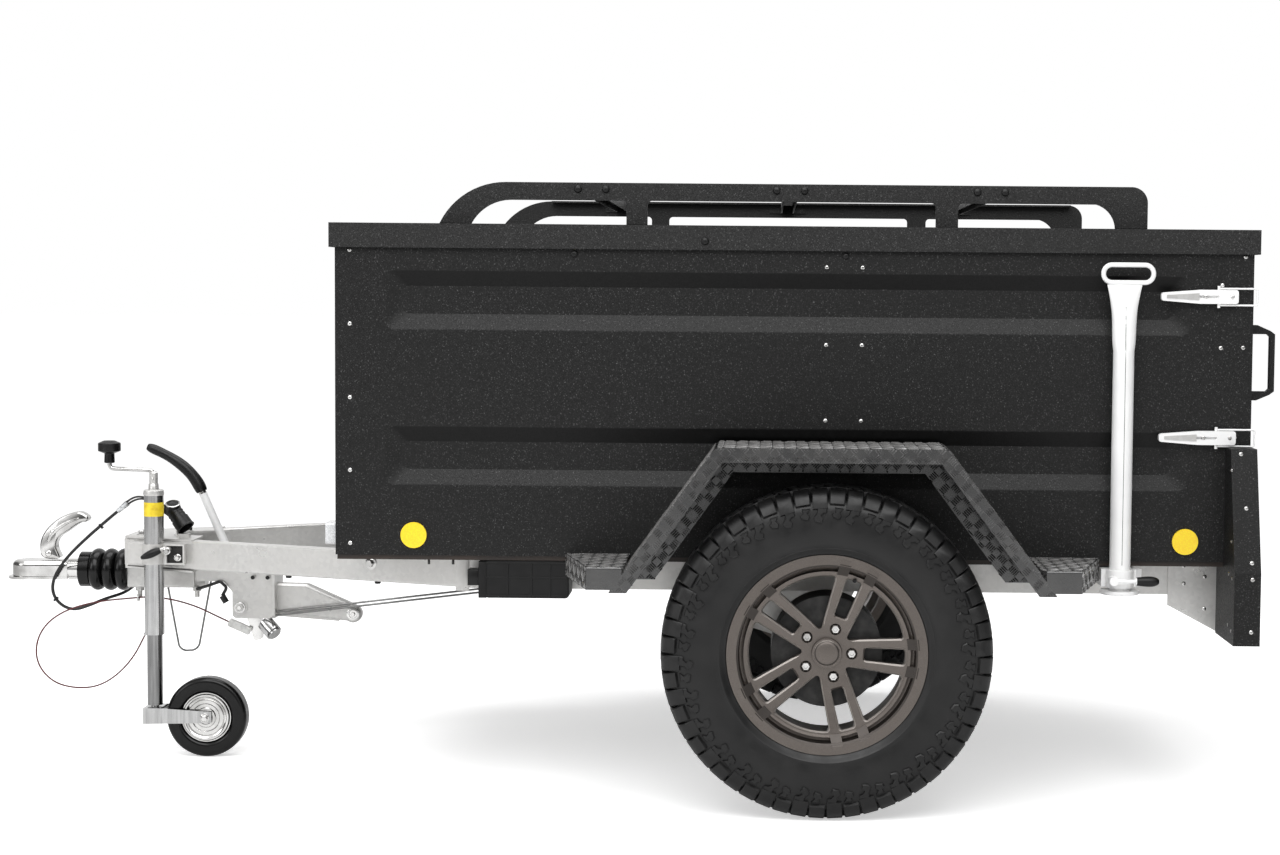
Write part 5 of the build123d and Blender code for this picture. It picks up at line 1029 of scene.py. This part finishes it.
def make_beam_joint(side, name):
    """The folded strap over the joint between the drawbar and the chassis side beam."""
    bm = bmesh.new()
    faces = [surface(node, (BEAM_JOINT + ahead, side, 0.50), (0, -side, 0))[0]
             for node, ahead in (("drawbar", -0.006), ("chassis_frame", 0.010))]
    out = max(abs(face.y) for face in faces)
    slab(bm, (BEAM_JOINT - JOINT_HALF, side * (out - 0.002), CHASSIS_FOOT),
         (BEAM_JOINT + JOINT_HALF, side * (out + 0.0012), CHASSIS_TOP), ease=0.0008)
    mesh_piece("beam_joint_" + name, bm, "steel_galvanised", "chassis")


for side, name in SIDES:
    make_chock_details(side, name)
    make_beam_joint(side, name)


# ---------------------------------------------------------------- jockey crank, hitch bolts, jockey tube
CRANK_LINE = ((-1.782, 0.735), (-1.781, 0.7235), (-1.766, 0.7215), (-1.735, 0.721), (-1.690, 0.7195),
              (-1.675, 0.7175), (-1.6725, 0.703), (-1.672, 0.686))
JOCKEY_TUBE = Matrix.Translation((JOCKEY.x, JOCKEY.y, 0))
JOCKEY_RADIUS = 0.024
BAND_FOOT, BAND_TOP, BAND_SKIN = 0.604, 0.639, 0.0004
BEAM_BOLTS = ((-1.084, 0.520), (-1.700, 0.503), (-1.640, 0.503))
BEAM_STUBS = (-1.310, -1.071)
PANEL_STUDS = (-0.918, -0.862)
STUD_SIDE = 0.590
HOUSING_BOLTS = [(x, y) for x in (-1.735, -1.640) for y in (-0.045, 0.045)]
CABLE_EYE = (AXLE - 1.201, -0.5, 0.339)
BRAKE_PIVOT = (AXLE - 1.487, 0.357)
BRACKET_HOLE_SHADES = ((-1.452, 0.436), (-1.414, 0.436))
BRACKET_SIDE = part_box("handbrake_bracket")[1].y
BRAKE_BAR = ((AXLE - 1.503, 0, 0.445), (AXLE - 1.590, 0, 0.646))


def make_crank():
    """The jockey wheel's crank: a round bar bent twice, with its cross pin in the boss."""
    line = [(x, JOCKEY.y, z) for x, z in CRANK_LINE]
    bar = route_curve("crank_bar", line, 0.0105, "steel_zinc", "chassis")
    bm = bmesh.new()
    lathe(bm, ((0.684, 0.0075), (0.684, 0.0105), (0.712, 0.0105), (0.714, 0.0085), (0.716, 0.0058)),
          JOCKEY_TUBE, segments=28)
    for side in (1, -1):
        dome(bm, (JOCKEY.x, JOCKEY.y + side * 0.0100, 0.698), (0, side, 0), radius=0.0035, height=0.003)
    mesh_piece("crank_boss", bm, "steel_galvanised", "chassis")
    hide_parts("jockey_crank")


def beam_fasteners(bright, dark, side):
    """Bolts through a drawbar beam, stub bolts under it and the studs under the box."""
    for x, z in BEAM_BOLTS:
        bolt_head(bright, *side_face("drawbar", side, x, z), across=0.017, height=0.009, washer=0.032)
    for x in BEAM_STUBS:
        face = side_face("drawbar", side, x, 0.50)[0]
        below = surface("drawbar", (face.x, face.y - side * 0.02, 0.2), (0, 0, 1))[0]
        bolt_head(dark, below, (0, 0, -1), across=0.013, height=0.007)
    for x in PANEL_STUDS:
        foot = Vector((AXLE + x, side * STUD_SIDE, PANEL_BOTTOM))
        bolt_head(dark, foot, (0, 0, -1), across=0.010, height=0.008, washer=0.016)
        rod(dark, foot, foot - Vector((0, 0, 0.022)), 0.003, segments=10)


def bracket_fasteners(bright, dark, side):
    """The handbrake's pivot bolt on its turned collar, and dark discs on the bracket's cheek that paint in
    the shade of its spare holes.
    """
    pivot, outward = side_face("handbrake_bracket", side, -1.474, 0.346)
    pivot.x, pivot.z = BRAKE_PIVOT
    lathe(bright, ((-0.001, 0), (-0.001, 0.0145), (0.0030, 0.0145), (0.0036, 0.0138), (0.0036, 0)),
          facing(pivot, outward), segments=28)
    bolt_head(bright, pivot + outward * 0.0036, outward, across=0.012, height=0.007)
    for x, z in BRACKET_HOLE_SHADES:
        # Painted shade: each spare hole is a thin dark disc on the cheek, not a cut.
        hole_shade = facing((AXLE + x, side * (BRACKET_SIDE - 0.0005), z), (0, side, 0))
        lathe(dark, ((0, 0), (0, 0.0052), (0.0003, 0.0052), (0.0003, 0)), hole_shade, segments=20)


def make_hitch_fasteners():
    """Bolts and studs of the drawbar, the overrun housing and the handbrake's bracket, and dark discs as
    painted shade for the bracket's holes.
    """
    bright, dark = bmesh.new(), bmesh.new()
    for side, name in SIDES:
        beam_fasteners(bright, dark, side)
    for x, y in HOUSING_BOLTS:
        place = surface("drawbar", (AXLE + x, y, 0.8), (0, 0, -1))
        bolt_head(bright, *place, across=0.017, height=0.010, washer=0.028)
    eye, outward = surface("handbrake_bracket", CABLE_EYE, (0, 1, 0))
    lathe(bright, ((-0.001, 0), (-0.001, 0.017), (0.0022, 0.017), (0.0030, 0.0160), (0.0030, 0.0105),
                   (0.0005, 0.0095), (0.0005, 0)), facing(eye, outward), segments=32)
    bolt_head(bright, eye, outward, across=0.010, height=0.006)
    for side, name in SIDES:
        bracket_fasteners(bright, dark, side)
    mesh_piece("hitch_bolts", bright, "steel_zinc", "chassis")
    mesh_piece("hitch_studs_and_hole_shade", dark, "brake_steel", "chassis")


def make_tube_details():
    """The handbrake's pale bar, and the film band and pressed cap of the jockey wheel's tube."""
    bar, band, cap = bmesh.new(), bmesh.new(), bmesh.new()
    rod(bar, *BRAKE_BAR, 0.0105, segments=28)
    lathe(band, ((BAND_FOOT, JOCKEY_RADIUS), (BAND_FOOT, JOCKEY_RADIUS + BAND_SKIN),
                 (BAND_TOP, JOCKEY_RADIUS + BAND_SKIN), (BAND_TOP, JOCKEY_RADIUS)), JOCKEY_TUBE, segments=48)
    lathe(cap, ((0.656, 0.0250), (0.660, 0.0256), (0.668, 0.0246), (0.6705, 0.0215), (0.6705, 0.0132),
                (0.673, 0.0128), (0.684, 0.0122), (0.687, 0.0098), (0.687, 0.0062)), JOCKEY_TUBE,
          segments=40)
    mesh_piece("handbrake_bar", bar, "steel_zinc", "chassis", finish=PALE)
    mesh_piece("jockey_band", band, "reflector_amber", "chassis", finish=BAND)
    mesh_piece("jockey_cap", cap, "steel_galvanised", "chassis")


make_crank()
make_hitch_fasteners()
make_tube_details()


# ---------------------------------------------------------------- jockey wheel, cable ties and plug
JOCKEY_AXLE = (JOCKEY_RIM_LOW + JOCKEY_RIM_HIGH) / 2
RIM_PRESSINGS = ((0.0, 0.059), (0.0026, 0.057), (0.0026, 0.053), (0.0002, 0.0505), (-0.0008, 0.0465),
                 (0.0022, 0.0440), (0.0022, 0.0360), (0.0002, 0.0335), (0.0002, 0.0260), (0.0030, 0.0235),
                 (0.0034, 0.0180), (0.0014, 0.0160), (0.0014, 0.0))
CLAMP_SCREWS = ((-1.630, 0.520), (-1.609, 0.501))
# A plate under the clamp's screws, made dark iron to paint in the shade round them.
CLAMP_SHADE_PAD = ((-1.646, 0.488), (-1.594, 0.531))
PAD_THICKNESS = 0.0035
TIES = (                          # straps on the black cable, and which way it runs there
    ((-1.836, -0.0655, 0.5675), (0.045, -0.006, 0.040)),
    ((-1.9655, -0.0275, 0.372), (-0.018, -0.010, 0.025)))
TIE_RADIUS = 0.0041
TIE_HALF = 0.0018
PLUG_TOP = Vector((AXLE - 1.648, -0.092, 0.619))
PLUG_MOUTH = Vector((AXLE - 1.606, -0.111, 0.569))
CAP_PLACE = facing((AXLE - 1.642, -0.097, 0.616), (0.05, -0.42, 0.9))


def make_jockey_details():
    """Pressed rings on both faces of the jockey wheel's rim, its axle nuts, the screws on its clamp, and a
    dark iron plate under the screws as painted shade.
    """
    rings, nuts, shade_pad, screws = (bmesh.new() for piece in range(4))
    for side, face_y in ((-1, JOCKEY_RIM_LOW.y), (1, JOCKEY_RIM_HIGH.y)):
        lathe(rings, RIM_PRESSINGS, facing((JOCKEY_AXLE.x, face_y, JOCKEY_AXLE.z), (0, side, 0)), segments=48)
        nut = surface("jockey_fork", (JOCKEY_AXLE.x, side, JOCKEY_AXLE.z), (0, -side, 0))
        bolt_head(nuts, *nut, across=0.015, height=0.008, washer=0.024)
    for x, z in CLAMP_SCREWS:
        point, outward = side_face("jockey_clamp", LEFT, x, z)
        bolt_head(screws, point + outward * PAD_THICKNESS, outward, across=0.011, height=0.008, washer=0.018)
    (front, foot), (rear, top) = CLAMP_SHADE_PAD
    slab(shade_pad, (AXLE + front, point.y - PAD_THICKNESS, foot), (AXLE + rear, point.y + 0.0010, top))
    mesh_piece("jockey_rim_rings", rings, "steel_zinc", "jockey_wheel", smooth_angle=30)
    mesh_piece("jockey_axle_nuts", nuts, "steel_zinc", "jockey_fork")
    mesh_piece("clamp_screws", screws, "steel_zinc", "chassis")
    mesh_piece("clamp_shade_pad", shade_pad, "steel_zinc", "chassis", finish=looks["brake_steel"])


def make_cable_ties():
    """Closed nylon straps round the black cable, each with its square lock."""
    bm = bmesh.new()
    outer, lock_end = TIE_RADIUS + 0.0012, TIE_RADIUS + 0.005
    for (x, y, z), axis in TIES:
        place = facing((AXLE + x, y, z), axis)
        lathe(bm, ((-TIE_HALF, TIE_RADIUS), (-TIE_HALF, outer), (TIE_HALF, outer), (TIE_HALF, TIE_RADIUS),
                   (-TIE_HALF, TIE_RADIUS)), place, segments=24)
        lock = [(TIE_RADIUS, -0.003), (lock_end, -0.003), (lock_end, 0.003), (TIE_RADIUS, 0.003)]
        prism(bm, lock, 0.005, place @ Matrix.Translation((0, 0, -0.0025)))
    mesh_piece("cable_ties", bm, "black_plastic", "chassis")


def make_plug_details():
    """The plug's ribbed barrel, the grey rim of its side cap and the shutter inside."""
    bm, rim = bmesh.new(), bmesh.new()
    run = PLUG_MOUTH - PLUG_TOP
    for share in (0.18, 0.32, 0.46):
        lathe(bm, ((-0.0018, 0.0190), (-0.0014, 0.0206), (0.0014, 0.0206), (0.0018, 0.0190)),
              facing(PLUG_TOP + run * share, run), segments=32)
    lathe(bm, ((-0.0030, 0.0215), (-0.0026, 0.0238), (0.0, 0.0242), (0.0006, 0.0222), (0.0006, 0.0200),
               (-0.0030, 0.0195)), facing(PLUG_MOUTH, run), segments=36)
    lathe(rim, ((0.0135, 0.0186), (0.0155, 0.0186), (0.0160, 0.0178), (0.0160, 0.0150), (0.0135, 0.0144)),
          CAP_PLACE, segments=36)
    lathe(bm, ((0.0138, 0.0144), (0.0148, 0.0130), (0.0148, 0.0090), (0.0142, 0.0080), (0.0142, 0)),
          CAP_PLACE, segments=30)
    mesh_piece("plug_ribs", bm, "black_plastic", "chassis")
    mesh_piece("plug_rim", rim, "steel_zinc", "chassis")


make_jockey_details()
make_cable_ties()
make_plug_details()


# ---------------------------------------------------------------- corner stands and latches
STAND_X = 0.675
STAND_SEAM = (0.560, 1.150)       # from and to these heights
SEAM_STEPS = 24
SEAM_SINK = 0.0007                # the seam slides through the clamp, so it stands only 0.3 mm proud
SEAM_RADIUS = 0.0010
LEVER_X = 0.700
LEVER_Z = 0.526
GRIP_SPAN = (0.005, 0.0575)       # where the lever's sleeve starts and ends past LEVER_X
GRIP_STEPS = 12
LATCH_HEIGHTS = (1.174, 0.851)
LATCH_PINS = (0.862, 0.922)
LATCH_RIB = ((0.772, -0.0035), (0.846, -0.008), (0.846, 0.008), (0.772, 0.0035))
PIN_OUT = 0.018                   # past the panel's face, as the two below
RIB_OUT = 0.0175
STUD_OUT = 0.006
LATCH_STUD = (0.900, 1.201)


def make_stand_seam(side, name):
    """The rolled tube's weld seam."""
    node = "corner_stand_" + name
    seam = bmesh.new()
    foot, top = STAND_SEAM
    heights = [foot + (top - foot) * step / SEAM_STEPS for step in range(SEAM_STEPS + 1)]
    points = [side_face(node, side, STAND_X, z)[0] - Vector((0, side * SEAM_SINK, 0)) for z in heights]
    for low, high in zip(points, points[1:]):
        rod(seam, low, high, SEAM_RADIUS, segments=8)
    mesh_piece("stand_seam_" + name, seam, "steel_zinc", node, finish=DULL)


def make_clamp_sleeve(side, name):
    """The black sleeve on the lever of a stand's clamp, as thick as the lever under it."""
    outer = side_face("stand_clamps", side, LEVER_X + 0.02, LEVER_Z)[0]
    inner = surface("stand_clamps", outer - Vector((0, side * 0.03, 0)), (0, side, 0))[0]
    y = (outer.y + inner.y) / 2
    start, end = GRIP_SPAN
    profile = [(start, 0.004)]
    for step in range(GRIP_STEPS + 1):
        reach = start + 0.0008 + (end - start - 0.0016) * step / GRIP_STEPS
        top = surface("stand_clamps", (AXLE + LEVER_X + reach, y, LEVER_Z + 0.05), (0, 0, -1))[0].z
        profile.append((reach, top - LEVER_Z + 0.0007))
    profile.append((end + 0.0005, 0))
    sleeve = bmesh.new()
    lathe(sleeve, profile, facing((AXLE + LEVER_X, y, LEVER_Z), (1, 0, 0)), segments=28)
    mesh_piece("clamp_sleeve_" + name, sleeve, "black_plastic", "chassis")


def make_latch_details(side, name):
    """Pivot pins and the raised rib on each latch's lever, and the stud above the upper latch."""
    pins, ribs = bmesh.new(), bmesh.new()
    place = facing((0, side * (BOX_SIDE + RIB_OUT), 0), (0, side, 0), (-side, 0, 0))
    for height in LATCH_HEIGHTS:
        for x in LATCH_PINS:
            dome(pins, (AXLE + x, side * (BOX_SIDE + PIN_OUT), height), (0, side, 0), radius=0.0045,
                 height=0.002)
        prism(ribs, [(-side * (AXLE + x), height + z) for x, z in LATCH_RIB], 0.0022, place)
    x, z = LATCH_STUD
    dome(pins, (AXLE + x, side * (BOX_SIDE + STUD_OUT), z), (0, side, 0), radius=0.006, height=0.008)
    mesh_piece("latch_pins_" + name, pins, "steel_zinc", "chassis")
    mesh_piece("latch_ribs_" + name, ribs, "steel_zinc", "chassis", finish=looks["steel_galvanised"])


for side, name in SIDES:
    make_stand_seam(side, name)
    make_clamp_sleeve(side, name)
both(make_latch_details)


# ---------------------------------------------------------------- floor, light
FLOOR_SHADE = 0.97
FLOOR_HALF = 60
FLOOR_SINK = 0.0005               # keeps the floor's face clear of the tyres' lowest points
FAR_GLOW = 0.57
NEAR_GLOW = 0.50                  # less where the lamps reach, so that the shadow stays
GLOW_REACH = (2.4, 5.0)           # the floor's glow grows from NEAR_GLOW to FAR_GLOW between these distances
WORLD_LIGHT = 0.45
FRONT_LEVEL = 0.15                # the dark room that flat faces mirror, between the studio's pale screens
SIDE_LEVEL = 0.16
FRONT_EDGE = (-0.985, -0.86)      # where that room ends, as a direction's Y and as its X to both sides
SIDE_EDGE = (0.60, 0.86)
SOFT_BOXES = (                    # name, place, target, width, height, watts
    ("key", (0.1, -4.4, 4.9), (0.1, -0.6, 0.9), 6.4, 3.4, 255),
    ("overhead", (-0.2, 0.4, 4.6), (0, 0, 0), 5.0, 2.4, 120),
    ("side", (-4.6, -3.2, 2.2), (-1.0, 0, 0.6), 1.6, 2.2, 40))


def fade(tree, value, start_end, levels):
    """A smooth change from the first level to the second as value goes from start to end."""
    node = tree.nodes.new("ShaderNodeMapRange")
    node.interpolation_type = "SMOOTHSTEP"
    for socket, number in zip(("From Min", "From Max", "To Min", "To Max"), (*start_end, *levels)):
        node.inputs[socket].default_value = number
    tree.links.new(value, node.inputs["Value"])
    return node.outputs["Result"]


def calculate(tree, operation, *values):
    """The output of a maths node on one or two outputs."""
    node = tree.nodes.new("ShaderNodeMath")
    node.operation = operation
    for value, socket in zip(values, node.inputs):
        tree.links.new(value, socket)
    return node.outputs["Value"]


def make_floor():
    """A pale floor that turns white in the distance and keeps the trailer's soft shadow."""
    bm = bmesh.new()
    outline = ((-FLOOR_HALF, -FLOOR_HALF), (FLOOR_HALF, -FLOOR_HALF), (FLOOR_HALF, 1.5 * FLOOR_HALF),
               (-FLOOR_HALF, 1.5 * FLOOR_HALF))
    prism(bm, outline, -0.02, Matrix.Translation((0, 0, -FLOOR_SINK)))
    mesh = bpy.data.meshes.new("floor")
    bm.to_mesh(mesh)
    bm.free()
    floor = bpy.data.objects.new("floor", mesh)
    scene.collection.objects.link(floor)
    material = bpy.data.materials.new("floor")
    material.use_nodes = True
    tree = material.node_tree
    shader = tree.nodes["Principled BSDF"]
    shader.inputs["Base Color"].default_value = rgba(FLOOR_SHADE)
    shader.inputs["Roughness"].default_value = 0.95
    shader.inputs["Specular IOR Level"].default_value = 0.0
    shader.inputs["Emission Color"].default_value = (1, 1, 1, 1)
    distance = tree.nodes.new("ShaderNodeVectorMath")
    distance.operation = "LENGTH"
    tree.links.new(tree.nodes.new("ShaderNodeTexCoord").outputs["Object"], distance.inputs[0])
    level = fade(tree, distance.outputs["Value"], GLOW_REACH, (NEAR_GLOW, FAR_GLOW))
    rays = tree.nodes.new("ShaderNodeLightPath")
    tree.links.new(calculate(tree, "MULTIPLY", rays.outputs["Is Camera Ray"], level),
                   shader.inputs["Emission Strength"])
    mesh.materials.append(material)


def make_world():
    """A pale studio: white to the camera and in reflections, but for the darker room it is seen from."""
    world = bpy.data.worlds.new("studio")
    scene.world = world
    world.use_nodes = True
    tree = world.node_tree
    background = tree.nodes["Background"]
    background.inputs["Color"].default_value = (1, 1, 1, 1)
    rays = tree.nodes.new("ShaderNodeLightPath")
    direction = tree.nodes.new("ShaderNodeSeparateXYZ")
    tree.links.new(tree.nodes.new("ShaderNodeTexCoord").outputs["Generated"], direction.inputs["Vector"])
    front = fade(tree, direction.outputs["Y"], FRONT_EDGE, (FRONT_LEVEL, 1.0))
    sides = fade(tree, calculate(tree, "ABSOLUTE", direction.outputs["X"]), SIDE_EDGE, (1.0, SIDE_LEVEL))
    level = None
    for ray in ("Is Glossy Ray", "Is Transmission Ray", "Is Camera Ray"):
        choice = tree.nodes.new("ShaderNodeMix")
        tree.links.new(rays.outputs[ray], choice.inputs["Factor"])
        if level is None:
            choice.inputs["A"].default_value = WORLD_LIGHT
            tree.links.new(calculate(tree, "MULTIPLY", front, sides), choice.inputs["B"])
        else:
            tree.links.new(level, choice.inputs["A"])
            choice.inputs["B"].default_value = 1.0
        level = choice.outputs["Result"]
    tree.links.new(level, background.inputs["Strength"])


def soft_box(name, place, target, width, height, power):
    """A rectangular lamp of width by height that shines from place towards target."""
    lamp = bpy.data.lights.new(name, "AREA")
    lamp.shape = "RECTANGLE"
    lamp.size = width
    lamp.size_y = height
    lamp.energy = power
    stand = bpy.data.objects.new(name, lamp)
    turn = (Vector(target) - Vector(place)).to_track_quat("-Z", "Y").to_matrix().to_4x4()
    stand.matrix_world = Matrix.Translation(Vector(place)) @ turn
    scene.collection.objects.link(stand)


make_floor()
make_world()
for lamp in SOFT_BOXES:
    soft_box(*lamp)
scene.view_settings.view_transform = "Standard"
